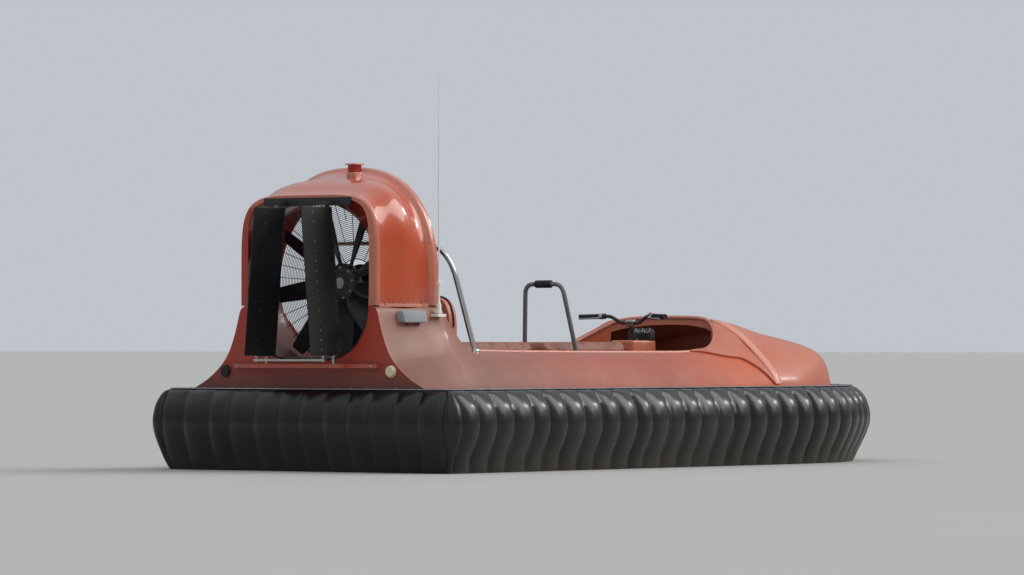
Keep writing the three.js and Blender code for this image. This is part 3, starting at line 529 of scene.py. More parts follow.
def half_width_at(hull, y, inset):
    half, stern, run, corner = plan_shape(hull, inset)
    bow_start = hull.bow_y - hull.bow_run
    if y > bow_start:
        return half * math.sqrt(max(1 - min((y - bow_start) / run, 1) ** 2, 0))
    if y - stern < corner:
        return half - corner + math.sqrt(max(corner**2 - (corner - y + stern) ** 2, 0))
    return half


def bow_turns(hull, count):
    """Angles that share a half bow's length at the skirt's fullest line into equal stretches."""
    turn = np.linspace(0, math.pi / 2, 400)
    step = np.hypot(hull.half_width * np.sin(turn), hull.bow_run * np.cos(turn))
    run = np.concatenate([[0], np.cumsum((step[1:] + step[:-1]) / 2)])
    return np.interp(np.arange(count + 1) / count * run[-1], run, turn)


def whole_outline(hull, inset, side_steps=12, bow_steps=40):
    """The plan outline as one ring, from the middle of the stern round by starboard."""
    half = [outline_point(hull, "stern", k / 6, inset) for k in range(6)]
    half += [outline_point(hull, "corner", k / 6, inset) for k in range(6)]
    half += [outline_point(hull, "side", k / side_steps, inset) for k in range(side_steps)]
    half += [outline_point(hull, "bow", a, inset) for a in bow_turns(hull, bow_steps)]
    return half + [(-x, y) for x, y in reversed(half[1:-1])]


def well_plan(hull, slack=0.0, steps=24):
    """The cockpit opening in plan, from the starboard rear round the front to port."""
    w = hull.well_half - slack
    # The walls flare by 12 mm towards the duct, from flare_y aft
    flare, flare_y, round_start = 0.012, -1.740, 0.760
    run = hull.well_front - slack - round_start
    half = [(w + flare, DUCT_FRONT)]
    half += [(w + flare * (1 - k / 6), mix(DUCT_FRONT + 0.10, flare_y, k / 6)) for k in range(7)]
    half += [(w, mix(flare_y, round_start, k / 16)) for k in range(1, 17)]
    for k in range(1, steps + 1):
        a = k / steps * math.pi / 2
        half.append((w * max(math.cos(a), 0) ** 0.8, round_start + run * math.sin(a)))
    return half + [(-x, y) for x, y in reversed(half[:-1])]


# Stations along the deck: y, crown height, then (x, z) of the crown's side, the rim of the
# cockpit or hood, the flare, the shoulder and the low line, and the foot's half width
# (0 where it follows the flange), all to starboard and in millimetres.
SIDE_DECK = [
    (-2510, 1010, (300, 1010), (532, 1010), (578, 835), (644, 685), (774, 570), 905),
    (-2050, 1010, (300, 1010), (655, 1010), (690, 850), (745, 745), (835, 650), 930),
    (-1900, 870, (300, 870), (643, 870), (688, 796), (752, 720), (846, 636), 930),
    (-1740, 737, (300, 737), (628, 737), (700, 722), (786, 692), (862, 610), 930),
    (480, 725, (300, 725), (606, 725), (694, 712), (786, 686), (862, 606), 930),
    (800, 790, (300, 785), (590, 742), (680, 722), (786, 688), (868, 606), 932),
    (1040, 905, (300, 895), (510, 842), (640, 778), (782, 690), (884, 598), 936),
    (1160, 950, (250, 948), (425, 918), (620, 822), (794, 696), (900, 588), 940),
]
FOREDECK = [
    (1140, 950, (250, 948), (425, 918), (620, 822), (794, 696), (900, 588), 940),
    (1300, 944, (240, 940), (418, 908), (618, 818), (790, 712), (890, 606), 0),
    (1700, 880, (200, 874), (400, 836), (612, 784), (752, 732), (842, 645), 0),
    (2100, 822, (150, 818), (320, 792), (478, 757), (590, 714), (664, 635), 0),
    (2330, 772, (110, 769), (220, 757), (328, 735), (408, 698), (468, 630), 0),
    (2465, 732, (60, 729), (128, 718), (186, 696), (238, 656), (270, 600), 0),
    (2530, 610, (26, 606), (52, 598), (72, 582), (86, 560), (96, 530), 0),
]


# How far the section is swept round at the crown, rim, flare, shoulder and low line
DECK_ROUNDS = (0.10, 0.05, 0.12, 0.12, 0.12)
# Half width that the foredeck's foot keeps to, which is the side deck's at their joint
WIDEST_FOOT = 0.940


def deck_profile(hull, table, y, grow=0.0, margin=True):
    """The deck's section at y, from the centreline out and down to the flange's underside."""
    flat = [[row[1], *(v for pair in row[2:7] for v in pair), row[7]] for row in table]
    values = flowing([row[0] for row in table], flat, y / MM) * MM
    points = [(0.0, values[0])] + [(values[k], values[k + 1]) for k in (1, 3, 5, 7, 9)]
    if min(row[7] for row in table) > 0:
        foot = values[11]
    else:
        foot = min(half_width_at(hull, y, hull.deck_margin), WIDEST_FOOT)
    points.append((foot, hull.deck_foot))
    if grow:
        points = [(x + (grow if i else 0), z + grow) for i, (x, z) in enumerate(points)]
    radii = list(DECK_ROUNDS)
    if margin:
        edge = max(half_width_at(hull, y, 0.0), foot + 0.01)
        points += [(edge, hull.flange_top), (edge, hull.flange_low)]
        radii += [0.022, 0.004]
    return rounded(points, radii, 6)


def deck_height(hull, table, x, y, grow=0.0):
    line = deck_profile(hull, table, y, grow, margin=False)
    return float(np.interp(abs(x), line[:, 0], line[:, 1]))

# Materials. Each is what the real surface is made of, with its pattern in real sizes.


def node(tree, kind, inputs=None, **settings):
    """Adds a node with its settings; an input is a plain value or the socket to link to it."""
    made = tree.nodes.new(kind)
    for name, value in settings.items():
        setattr(made, name, value)
    for socket, value in (inputs or {}).items():
        if isinstance(value, bpy.types.NodeSocket):
            tree.links.new(value, made.inputs[socket])
        else:
            made.inputs[socket].default_value = value
    return made


def surface(name, base, roughness, metallic=0.0, ior=1.5):
    """A new material, its nodes, its shader and a socket with the place in the craft's frame."""
    material = bpy.data.materials.new(name)
    material.use_nodes = True
    tree = material.node_tree
    shader = tree.nodes["Principled BSDF"]
    plain = {"Base Color": (*base, 1), "Roughness": roughness, "Metallic": metallic, "IOR": ior}
    for socket, value in plain.items():
        shader.inputs[socket].default_value = value
    return material, tree, shader, node(tree, "ShaderNodeTexCoord").outputs["Object"]


def per_metre(size):
    """A noise scale whose cells are about this many metres across."""
    return 1.0 / size


def ramp(tree, value, a, b, to_low=0.0, to_high=1.0):
    """A value stretched from a..b to to_low..to_high and held inside it."""
    return node(
        tree,
        "ShaderNodeMapRange",
        {"Value": value, "From Min": a, "From Max": b, "To Min": to_low, "To Max": to_high},
    ).outputs["Result"]


def blotches(tree, at, size, detail=4.0, roughness=0.6, stretch=(1, 1, 1)):
    """Cloudy variation with patches of a real size, drawn out along an axis by stretch."""
    if stretch != (1, 1, 1):
        at = node(tree, "ShaderNodeMapping", {"Vector": at, "Scale": stretch}).outputs["Vector"]
    settings = {"Vector": at, "Scale": per_metre(size), "Detail": detail, "Roughness": roughness}
    return node(tree, "ShaderNodeTexNoise", settings).outputs["Fac"]


def tinted(tree, share, a, b):
    """Colour a where share is 0 and b where it is 1; either may be a socket."""
    as_colour = [c if isinstance(c, bpy.types.NodeSocket) else (*c, 1) for c in (a, b)]
    return node(
        tree, "ShaderNodeMix", {0: share, 6: as_colour[0], 7: as_colour[1]}, data_type="RGBA"
    ).outputs[2]


def arithmetic(tree, operation, a, b):
    return node(tree, "ShaderNodeMath", {0: a, 1: b}, operation=operation).outputs[0]


def times(tree, a, b):
    return arithmetic(tree, "MULTIPLY", a, b)


def larger(tree, a, b):
    return arithmetic(tree, "MAXIMUM", a, b)


def vector_maths(tree, operation, a, b=(0, 0, 0)):
    return node(tree, "ShaderNodeVectorMath", {0: a, 1: b}, operation=operation).outputs


def relief(tree, shader, height, depth, share, over=None):
    """Bump of a real depth; over is the bump it lies on."""
    inputs = {"Height": height, "Distance": depth, "Strength": share}
    if over is not None:
        inputs["Normal"] = over
    made = node(tree, "ShaderNodeBump", inputs).outputs["Normal"]
    tree.links.new(made, shader.inputs["Normal"])
    return made


def worn_edges(tree, low_edge=0.51, high_edge=0.56):
    """Where the surface turns outwards sharply, as on a rubbed edge."""
    turn = node(tree, "ShaderNodeNewGeometry").outputs["Pointiness"]
    return ramp(tree, turn, low_edge, high_edge)


def link_look(tree, shader, colour_socket, roughness=None):
    if colour_socket is not None:
        tree.links.new(colour_socket, shader.inputs["Base Color"])
    if roughness is not None:
        tree.links.new(roughness, shader.inputs["Roughness"])


def separate(tree, at):
    """The X, Y and Z of a place or a direction in the craft's frame."""
    return node(tree, "ShaderNodeSeparateXYZ", {0: at}).outputs


def facing(tree):
    """Which way the surface faces, in the craft's frame."""
    return node(tree, "ShaderNodeTexCoord").outputs["Normal"]


def along_craft(tree, place, coats):
    """A colour that changes along the craft; coats are places ahead of its middle with colours."""
    shade = coats[0][1]
    for (behind, _), (ahead, after) in zip(coats[:-1], coats[1:]):
        shade = tinted(tree, ramp(tree, place["Y"], behind, ahead), shade, after)
    return shade


def inside_duct(tree, at):
    """1 on the duct's inner walls, which face its axis, and 0 elsewhere."""
    flat = vector_maths(tree, "SUBTRACT", at, (0, 0, DUCT_AXIS))[0]
    flat = vector_maths(tree, "MULTIPLY", flat, (1, 0, 1))[0]
    turned = vector_maths(tree, "DOT_PRODUCT", flat, facing(tree))["Value"]
    reach = vector_maths(tree, "LENGTH", flat)["Value"]
    return times(tree, ramp(tree, turned, -0.03, -0.10), ramp(tree, reach, 0.86, 0.76))


def gelcoat(
    finish, name, coats, fade_share, gloss, dirt_top, dirt_reach, dirt_share, shaded=None, pale_lit_rims=()
):
    """Polyester gelcoat from a polished mould.

    Long soft waves from the glass mat under it, orange peel 3 mm across, patches that the sun has
    bleached, upper faces made paler partly as sun bleaching and partly as painted sky light, rain
    streaks down the sides, and a film of dried spray that thickens lower down. Shaded is the
    painted shade colour where it faces aft, darker lower down as a painted shadow under the ledge,
    and darker still as painted shade inside the duct. The lit rims are stretches of the craft whose
    raised edge is painted pale as a highlight."""
    mud = finish.mud
    material, tree, shader, at = surface(name, coats[0][1], gloss, ior=1.52)
    place = separate(tree, at)
    facing_way = separate(tree, facing(tree))
    shader.inputs["Coat Weight"].default_value = 0.9 if pale_lit_rims else 0.2
    shader.inputs["Coat Roughness"].default_value = 0.07 if pale_lit_rims else 0.14
    fade_and_painted_light = ramp(tree, blotches(tree, at, 0.55, 4.0), 0.33, 0.70, *fade_share)
    # Upper faces paler: partly sun bleaching, partly painted sky light
    top_fade_and_painted_light = ramp(tree, facing_way["Z"], 0.62, 1.0, 0.0, 0.42 if pale_lit_rims else 0.15)
    # Painted highlight: the raised rims are made pale along their stretches
    for behind, ahead in pale_lit_rims:
        y, soft = place["Y"], 0.012
        rim = times(tree, ramp(tree, y, behind, behind + soft), ramp(tree, y, ahead, ahead - soft))
        top_fade_and_painted_light = larger(tree, top_fade_and_painted_light, times(tree, rim, 0.62))
    fade_and_painted_light = larger(tree, fade_and_painted_light, top_fade_and_painted_light)
    rubbed = ramp(tree, worn_edges(tree, 0.505, 0.54), 0, 1, 0, 0.6 if pale_lit_rims else 0.3)
    fade_and_painted_light = larger(tree, fade_and_painted_light, rubbed)
    paint = tinted(tree, fade_and_painted_light, along_craft(tree, place, coats), finish.faded_and_lit)
    if shaded:
        # Painted shade: the shaded colour where the surface faces aft
        aft = ramp(tree, facing_way["Y"], -0.55, -0.90)
        if pale_lit_rims:
            # Of the aft faces only the port side below 1.6 m keeps the painted shade; elsewhere the
            # raised edge shows its lit colour as a painted highlight
            port = ramp(tree, place["X"], 0.30, -0.30)
            aft = times(tree, aft, times(tree, port, ramp(tree, place["Z"], 1.64, 1.60)))
        # Painted shadow: aft faces darker towards the bottom, under the ledge
        low_down = ramp(tree, place["Z"], 0.68, 0.52, 0.0, 0.85)
        deep = tinted(tree, low_down, shaded, [c * 0.22 for c in shaded])
        paint = tinted(tree, aft, paint, deep)
        # Painted shade on the duct's inner walls
        paint = tinted(tree, inside_duct(tree, at), paint, [c * 0.45 for c in shaded])
    streaks = ramp(tree, blotches(tree, at, 0.026, 6.0, 0.6, (1, 1, 0.10)), 0.50, 0.80, 0.0, 0.22)
    paint = tinted(tree, streaks, paint, mud)
    film = ramp(tree, place["Z"], dirt_top + dirt_reach, dirt_top, 0.0, dirt_share)
    film = times(tree, film, ramp(tree, blotches(tree, at, 0.20, 7.0, 0.65), 0.28, 0.72, 0.35, 1.0))
    # Spray drops are drawn 8 mm across; finer ones don't show
    drops = ramp(tree, blotches(tree, at, 0.008, 3.0, 0.6), 0.60, 0.68, 0.0, 0.7)
    drops = times(tree, drops, ramp(tree, place["Z"], dirt_top + dirt_reach * 1.6, dirt_top))
    share = larger(tree, film, drops)
    rough = ramp(tree, blotches(tree, at, 0.16, 6.0), 0.3, 0.75, gloss, gloss + 0.16)
    rough = arithmetic(tree, "ADD", rough, times(tree, share, 0.45))
    link_look(tree, shader, tinted(tree, share, paint, mud), rough)
    waves = relief(tree, shader, blotches(tree, at, 0.11, 2.0), 0.0016, 0.26)
    relief(tree, shader, blotches(tree, at, 0.003, 2.0), 0.00006, 0.5, waves)
    return material


def coated_fabric(name, base, mud):
    """Nylon cloth coated with rubber, for the skirt.

    A fine basket weave shows through the coating. Threads 1 mm wide are drawn 3 mm wide,
    because finer ones don't show. Wet sheen on the upper shoulders, dried mud below."""
    material, tree, shader, at = surface(name, base, 0.30, ior=1.42)
    shader.inputs["Coat Weight"].default_value = 0.28
    shader.inputs["Coat Roughness"].default_value = 0.20
    place = separate(tree, at)
    # Less of the mud colour towards the stern, so the skirt is darker there
    aft = ramp(tree, place["Y"], -2.62, -2.05, 0.22, 1.0)
    film = ramp(tree, blotches(tree, at, 0.28, 6.0), 0.25, 0.75, 0.25, 1.0)
    low_down = ramp(tree, place["Z"], 0.36, 0.02, 0.03, 0.50)
    share = times(tree, times(tree, film, low_down), aft)
    runs = ramp(tree, blotches(tree, at, 0.020, 5.0, 0.6, (1, 1, 0.09)), 0.54, 0.76, 0.0, 0.16)
    paint = tinted(tree, times(tree, runs, aft), tinted(tree, share, base, mud), mud)
    link_look(tree, shader, paint, ramp(tree, share, 0.0, 0.5, 0.28, 0.62))
    # At this scale one wave of the texture is one thread
    settings = {"Vector": at, "Scale": per_metre(0.003 * 3.1), "Distortion": 0.2}
    weft = node(tree, "ShaderNodeTexWave", settings, bands_direction="Z").outputs["Fac"]
    warp = node(tree, "ShaderNodeTexWave", settings, bands_direction="DIAGONAL").outputs["Fac"]
    weave = relief(tree, shader, times(tree, weft, warp), 0.0003, 0.25)
    relief(tree, shader, blotches(tree, at, 0.045, 4.0), 0.0018, 0.35, weave)
    return material


def moulded_plastic(name, base, gloss, grain=0.0009, dust=None):
    """Injection-moulded plastic: a spark-eroded grain, and a paler dust tone in patches and along
    sharp edges.
    """
    material, tree, shader, at = surface(name, base, gloss, ior=1.46)
    tone = ramp(tree, blotches(tree, at, 0.08), 0.3, 0.7, 0.0, 0.35)
    pale = dust or [min(1, c * 1.6 + 0.02) for c in base]
    rough = ramp(tree, blotches(tree, at, 0.05), 0.3, 0.7, gloss - 0.07, gloss + 0.12)
    edges = times(tree, worn_edges(tree), 0.3)
    link_look(tree, shader, tinted(tree, larger(tree, tone, edges), base, pale), rough)
    relief(tree, shader, blotches(tree, at, grain * 2, 3.0), 0.00012, 0.5)
    return material


def rubber(name, base, gloss=0.72):
    """Moulded rubber: matt, grey bloom in patches and a fine pimpled skin."""
    material, tree, shader, at = surface(name, base, gloss, ior=1.52)
    bloom = ramp(tree, blotches(tree, at, 0.03, 6.0), 0.45, 0.8, 0.0, 0.5)
    link_look(tree, shader, tinted(tree, bloom, base, [c + 0.05 for c in base]))
    relief(tree, shader, blotches(tree, at, 0.0016, 2.0), 0.00015, 0.6)
    return material


def metal(name, base, roughness, brush, grime, grime_share):
    """Bare metal with the lines that its finishing leaves, and grime in patches."""
    material, tree, shader, at = surface(name, base, roughness, 1.0)
    lines = blotches(tree, at, 0.004, 3.0, 0.6, brush)
    rough = ramp(tree, lines, 0.25, 0.75, roughness * 0.75, min(1, roughness * 1.4))
    dull = ramp(tree, blotches(tree, at, 0.06, 6.0), 0.52, 0.72, 0.0, grime_share)
    link_look(tree, shader, tinted(tree, dull, base, grime), rough)
    relief(tree, shader, lines, 0.00005, 0.4)
    return material


def powder_coat(name, base, rust, gloss=0.42):
    """Powder-coated steel tube: a slight orange peel, chips along edges with rust in them."""
    material, tree, shader, at = surface(name, base, gloss, ior=1.5)
    chips = ramp(tree, blotches(tree, at, 0.018, 8.0, 0.7), 0.66, 0.70)
    pits = ramp(tree, blotches(tree, at, 0.009, 8.0, 0.75), 0.735, 0.745)
    chipped = larger(tree, times(tree, worn_edges(tree), chips), pits)
    patches = ramp(tree, blotches(tree, at, 0.09), 0.3, 0.7, 0, 0.3)
    tone = tinted(tree, patches, base, [c * 1.5 for c in base])
    link_look(
        tree, shader, tinted(tree, chipped, tone, rust), ramp(tree, chipped, 0, 1, gloss, 0.85)
    )
    relief(tree, shader, blotches(tree, at, 0.0025, 2.0), 0.00008, 0.5)
    return material


def vinyl(name, base):
    """Calendered vinyl cloth over foam: a leather grain of 2 mm cells and a satin sheen."""
    material, tree, shader, at = surface(name, base, 0.5, ior=1.53)
    shader.inputs["Sheen Weight"].default_value = 0.12
    cells = {"Vector": at, "Scale": per_metre(0.004), "Randomness": 1.0}
    grain = node(tree, "ShaderNodeTexVoronoi", cells, feature="DISTANCE_TO_EDGE").outputs[0]
    grain = ramp(tree, grain, 0.0, 0.25)
    wear = ramp(tree, blotches(tree, at, 0.12, 5.0), 0.35, 0.72)
    pale = [c * 1.9 + 0.012 for c in base]
    link_look(tree, shader, tinted(tree, wear, base, pale), ramp(tree, wear, 0, 1, 0.46, 0.62))
    soft = relief(tree, shader, blotches(tree, at, 0.06, 3.0), 0.0015, 0.35)
    relief(tree, shader, grain, 0.00030, 0.45, soft)
    return material


def non_slip(name, base, mud):
    """Flowcoat brushed over glass mat with grit in it, for the cockpit floor and hull."""
    material, tree, shader, at = surface(name, base, 0.62, ior=1.52)
    tone = ramp(tree, blotches(tree, at, 0.30, 6.0), 0.35, 0.7)
    paint = tinted(tree, tone, base, [c * 1.35 for c in base])
    dirt = ramp(tree, blotches(tree, at, 0.09, 8.0, 0.7), 0.48, 0.66, 0.0, 0.75)
    link_look(tree, shader, tinted(tree, dirt, paint, mud), ramp(tree, dirt, 0, 1, 0.55, 0.9))
    fibres = relief(tree, shader, blotches(tree, at, 0.022, 3.0), 0.0012, 0.4)
    relief(tree, shader, blotches(tree, at, 0.0035, 2.0), 0.0005, 0.6, fibres)
    return material


def clear_plastic(name, base, roughness, see_through):
    """Moulded acrylic lens: clear colour, faint moulded ripples inside."""
    material, tree, shader, at = surface(name, base, roughness, ior=1.49)
    shader.inputs["Transmission Weight"].default_value = see_through
    relief(tree, shader, blotches(tree, at, 0.006, 1.0), 0.0003, 0.3)
    smears = ramp(tree, blotches(tree, at, 0.03), 0.4, 0.8, roughness, roughness + 0.2)
    link_look(tree, shader, None, smears)
    return material


def make_materials(finish):
    """Every finish on the craft, by a short name."""
    mud = finish.mud
    rust = linear("#6b3a1e")
    decks = [
        (-1.9, finish.deck_aft), (-0.7, finish.deck), (0, finish.deck), (0.9, finish.deck_fore)
    ]
    stepped_on = (0.0, 0.28), 0.38, 0.50, 0.34, 0.45
    even = (1, 1, 1)
    return {
        # Still glossy, because it is washed by the fan's air: a hard highlight on each bend. Its
        # rims and upper faces are painted pale as highlights, and its port aft faces take the
        # painted shade
        "cowl": gelcoat(
            finish, "gelcoat_orange_glossy_painted_light", [(0, finish.orange)], (0.0, 0.16), 0.19, 0.98, 0.12,
            0.30, finish.aft_shade_red, [(-2.60, -2.466), (-2.124, -2.00)],
        ),
        # Bleached and dusty, where crews step: a broad soft sheen, dustier towards the stern, with
        # upper faces made paler partly as painted sky light
        "deck": gelcoat(finish, "gelcoat_orange_bleached_painted_light", decks, *stepped_on),
        # The same coat with painted shade: redder where it faces aft, darker low down as a painted
        # shadow under the ledge, and darker in the duct
        "stern": gelcoat(finish, "gelcoat_stern_painted_shade", decks, *stepped_on, finish.aft_shade_red),
        # Painted shade: the ledge under the rudders is painted all over in the shade red
        "shelf": gelcoat(
            finish, "gelcoat_shelf_painted_shade", [(0, finish.aft_shade_red)], (0.0, 0.15), 0.40, 0.50, 0.2, 0.3
        ),
        # Ahead of the cockpit, out of the fan's spray: cleaner
        "hood": gelcoat(
            finish, "gelcoat_orange_foredeck", [(0, finish.hood)], (0.0, 0.6), 0.34, 0.5, 0.2, 0.25
        ),
        # The raised rib, rolled edges and seam flanges are painted paler, as the highlight they
        # catch
        "lap": gelcoat(
            finish, "gelcoat_orange_pale_painted_highlight", [(0, finish.lap)], (0.2, 0.8), 0.38, 0.50, 0.20, 0.25
        ),
        "hull": non_slip("flowcoat_grey_gritted", finish.hull, mud),
        "skirt": coated_fabric("neoprene_coated_nylon", finish.skirt, mud),
        "vane": moulded_plastic(
            "composite_black_moulded", finish.vane, 0.55, 0.0012, linear("#202224")
        ),
        "fan": moulded_plastic("glass_filled_nylon_moulded", linear("#1d1d20"), 0.42),
        "abs": moulded_plastic("abs_black_moulded", linear("#17181a"), 0.45),
        "grey_plastic": moulded_plastic("abs_grey_moulded", linear("#8c8f92"), 0.5),
        "white_plastic": moulded_plastic("glass_fibre_white_sleeved", linear("#e2e1da"), 0.35),
        "cream_plastic": moulded_plastic("acetal_cream_turned", linear("#cfc09a"), 0.4),
        "rubber": rubber("epdm_rubber_moulded", linear("#141414")),
        "runner": rubber("polyurethane_runner_cast", linear("#24221f"), 0.6),
        # Polished tube: crisp long reflections, tea staining in patches
        "stainless": metal(
            "stainless_steel_polished", linear("#c9cbcc"), 0.2, even, linear("#7d6a52"), 0.25
        ),
        "zinc": metal("steel_zinc_plated", linear("#b9bcbf"), 0.32, even, linear("#6d675e"), 0.4),
        "alloy": metal(
            "aluminium_anodised", linear("#9ea1a4"), 0.38, (1, 0.1, 1), linear("#54504a"), 0.4
        ),
        "cast": metal("aluminium_sand_cast", linear("#83868a"), 0.52, even, linear("#2b2723"), 0.6),
        "steel_paint": powder_coat("steel_powder_coated", linear("#26282b"), rust),
        "hoop": powder_coat("steel_powder_coated_grey", linear("#6c6c70"), rust, 0.36),
        "silencer": metal("steel_heat_tinted", linear("#6f5f52"), 0.45, even, rust, 0.7),
        "vinyl": vinyl("vinyl_brown_calendered", finish.vinyl),
        "red_lens": clear_plastic("acrylic_red_moulded", linear("#b02418"), 0.1, 0.25),
        "dial": moulded_plastic("dial_face_printed", linear("#101113"), 0.6),
        "dial_marks": moulded_plastic("dial_marks_printed", linear("#e9e6dc"), 0.6),
        "red_plastic": moulded_plastic("polypropylene_red_moulded", linear("#9c1c12"), 0.4),
    }


def finish_named(name):
    """A material by its short name; all are made once for the whole craft."""
    if not made_materials:
        made_materials.update(make_materials(bpy.context.scene.craft_finish))
    return made_materials[name]


made_materials = {}


def sizes():
    scene = bpy.context.scene
    return scene.craft_hull, scene.craft_skirt, scene.craft_duct


# Skirt

# One segment's section, out and round from the flange: inset from the flange's edge, height,
# and how much of the seam groove reaches there, lengths in millimetres
SKIRT_OUTSIDE = [
    (-0.5, 499.5, 0),
    (-36, 487, 0.4),
    (-76, 452, 1),
    (-110, 395, 1),
    (-130, 300, 1),
    (-112, 205, 1),
    (-48, 72, 0.8),
    (-10, 0, 0.3),
    (20, 0, 0),
]
SKIRT_INSIDE = [(130, 112, 0), (240, 228, 0), (120, 350, 0), (-0.5, 479, 0)]
SEGMENT_COLUMNS = 10
SEGMENT_SEED = 7


class HOVERCRAFT_OT_skirt(bpy.types.Operator):
    """Sews the segmented skirt, one piece for the stern, each side and the bow"""

    bl_idname = "hovercraft.skirt"
    bl_label = "Skirt"

    def execute(self, context):
        hull, skirt, _ = sizes()
        chance = np.random.default_rng(SEGMENT_SEED)
        section = np.vstack([smooth_line(SKIRT_OUTSIDE, 4), np.array(SKIRT_INSIDE, float)])
        section[:, :2] *= MM
        section[:, 0] = np.maximum(section[:, 0], -hull.bulge)
        section[:, 1] = np.clip(section[:, 1], 0, hull.flange_top - 0.0005)
        for name, runs in self.runs(hull, skirt).items():
            rings = []
            for leg, mirror, seams in runs:
                for a, b in zip(seams[:-1], seams[1:]):
                    slack, lean = chance.uniform(0, 0.012), chance.uniform(-0.2, 0.2)
                    phase = chance.uniform(0, 6.3)
                    for u in np.arange(SEGMENT_COLUMNS) / SEGMENT_COLUMNS:
                        place = leg, mirror, mix(a, b, u), u
                        rings.append(self.ring(hull, skirt, section, place, slack, lean, phase))
            end = leg, mirror, seams[-1], 0
            rings.append(self.ring(hull, skirt, section, end, 0, 0, 0))
            finish_shape(lofted(rings), name + "_sewn", "skirt", "skirt_fabric", [name], 60)
        return {"FINISHED"}

    def runs(self, hull, skirt):
        """For each piece, its legs of the outline and the seams along them."""
        bow = bow_turns(hull, 38)[::3]
        across = np.concatenate([bow, math.pi - bow[::-1]])
        uneven = np.random.default_rng(SEGMENT_SEED + 1)

        def seams(start, stop, count):
            """Hand-cut segments, so no two are quite as wide."""
            places = np.linspace(start, stop, count + 1)
            places[1:-1] += uneven.uniform(-0.09, 0.09, count - 1) * (stop - start) / count
            return places

        count = skirt.side_segments
        return {
            "skirt_stern": [("stern", 1, seams(-1, 1, skirt.stern_segments))],
            "skirt_starboard": [("corner", 1, [0, 1]), ("side", 1, seams(0, 1, count))],
            "skirt_port": [("corner", -1, [0, 1]), ("side", -1, seams(0, 1, count))],
            "skirt_bow": [("bow", 1, across)],
        }

    def ring(self, hull, skirt, section, place, slack, lean, phase):
        """The section at one place: a full curve between seams and a deep valley at each."""
        leg, mirror, t, u = place
        off = abs(2 * u - 1)
        valley = off**2.6
        # Across the stern the air pushes less, and the segments lie flatter
        depth = skirt.groove * (0.8 + 0.2 * t**12 if leg == "stern" else 1)
        ring = []
        for inset, z, share in section:
            fold = math.sin(z * 2 * math.pi / 0.034 + phase + 5 * u)
            pucker = skirt.pucker * fold * off**3 * (1 - off**12)
            full = slack * (1 - valley) * (1 + lean * math.sin(z * 9 + phase))
            inward = share * (depth * valley + full + pucker)
            x, y = outline_point(hull, leg, t, inset + inward)
            ring.append((x * mirror, y, z))
        return ring


class HOVERCRAFT_OT_skirt_strip(bpy.types.Operator):
    """Lays the strip that clamps the skirt to the flange, with its screws"""

    bl_idname = "hovercraft.skirt_strip"
    bl_label = "Skirt strip"

    def execute(self, context):
        hull, skirt, _ = sizes()
        shape = Shape()
        inner, outer, edge = skirt.rail_height - 0.008, -0.012, 0.0016
        bottom, top = hull.flange_top + 0.0003, hull.flange_top + skirt.rail_thick
        corners = [(inner, bottom), (inner, top - edge), (inner - edge, top)]
        corners += [(outer + edge, top), (outer, top - edge), (outer, bottom)]
        lines = [whole_outline(hull, inset, 24, 60) for inset, _ in corners]
        rings = [[(x, y, z) for (x, y), (_, z) in zip(stop, corners)] for stop in zip(*lines)]
        shape.loft(rings, closed=True)
        shape.paint = 1
        line = whole_outline(hull, 0.0, 24, 60)
        line.append(line[0])
        run = np.linalg.norm(np.diff(line, axis=0), axis=1).sum()
        for x, y in even(line, int(run / skirt.screw_step))[:-1]:
            shape.screw((x, y, top), (0, 0, 1), 0.0045)
        finish_shape(shape, "skirt_strip", "alloy zinc", "stainless", (), 40)
        return {"FINISHED"}


# Deck mouldings


def full_ring(half_line, y):
    """A symmetrical ring from a half section that starts on the centreline."""
    starboard = [(x, y, z) for x, z in half_line]
    return starboard + [(-x, y, z) for x, z in reversed(half_line[1:])]


def upright_wall(plan, *heights):
    """A solid with this plan at each height."""
    return lofted([[(x, y, z) for x, y in plan] for z in heights])


def well_half_at(hull, y):
    plan = np.array(well_plan(hull))
    starboard = plan[: len(plan) // 2 + 1]
    return float(np.interp(y, starboard[:, 1], starboard[:, 0]))


class HOVERCRAFT_OT_side_decks(bpy.types.Operator):
    """Moulds the port and starboard side decks"""

    bl_idname = "hovercraft.side_decks"
    bl_label = "Side decks"

    def execute(self, context):
        hull, _, duct = sizes()
        gap = 0.0003
        stations = [
            *np.linspace(duct.front_y + gap, -1.62, 26),
            *np.linspace(-1.52, 0.40, 14),
            *np.linspace(0.46, hull.joint_y, 34),
        ]
        for side, mirror in SIDES:
            name = f"side_deck_{side}"
            deck = lofted(
                [[(x * mirror, y, z) for x, z in self.section(hull, y)] for y in stations]
            )
            finish_shape(deck, name + "_moulding", "deck", "gelcoat_orange", [name])
        return {"FINISHED"}

    def section(self, hull, y):
        """From the foot of the well wall up over the coaming and out to the flange."""
        line = deck_profile(hull, SIDE_DECK, y)
        inner, outer = line[:15], line[15:]
        x0 = well_half_at(hull, y)
        z0 = float(np.interp(x0, inner[:, 0], inner[:, 1]))
        kept = [p for p in inner if p[0] > x0 + 0.0015]
        top = even([(x0 + 0.004, z0 + 0.001), *kept, outer[0]], 16)[:-1]
        top[:, 1] = np.minimum(top[:, 1], line[:, 1].max())
        return [(x0, hull.flange_low), (x0, z0 - 0.020), (x0, z0 - 0.006), *top, *outer]


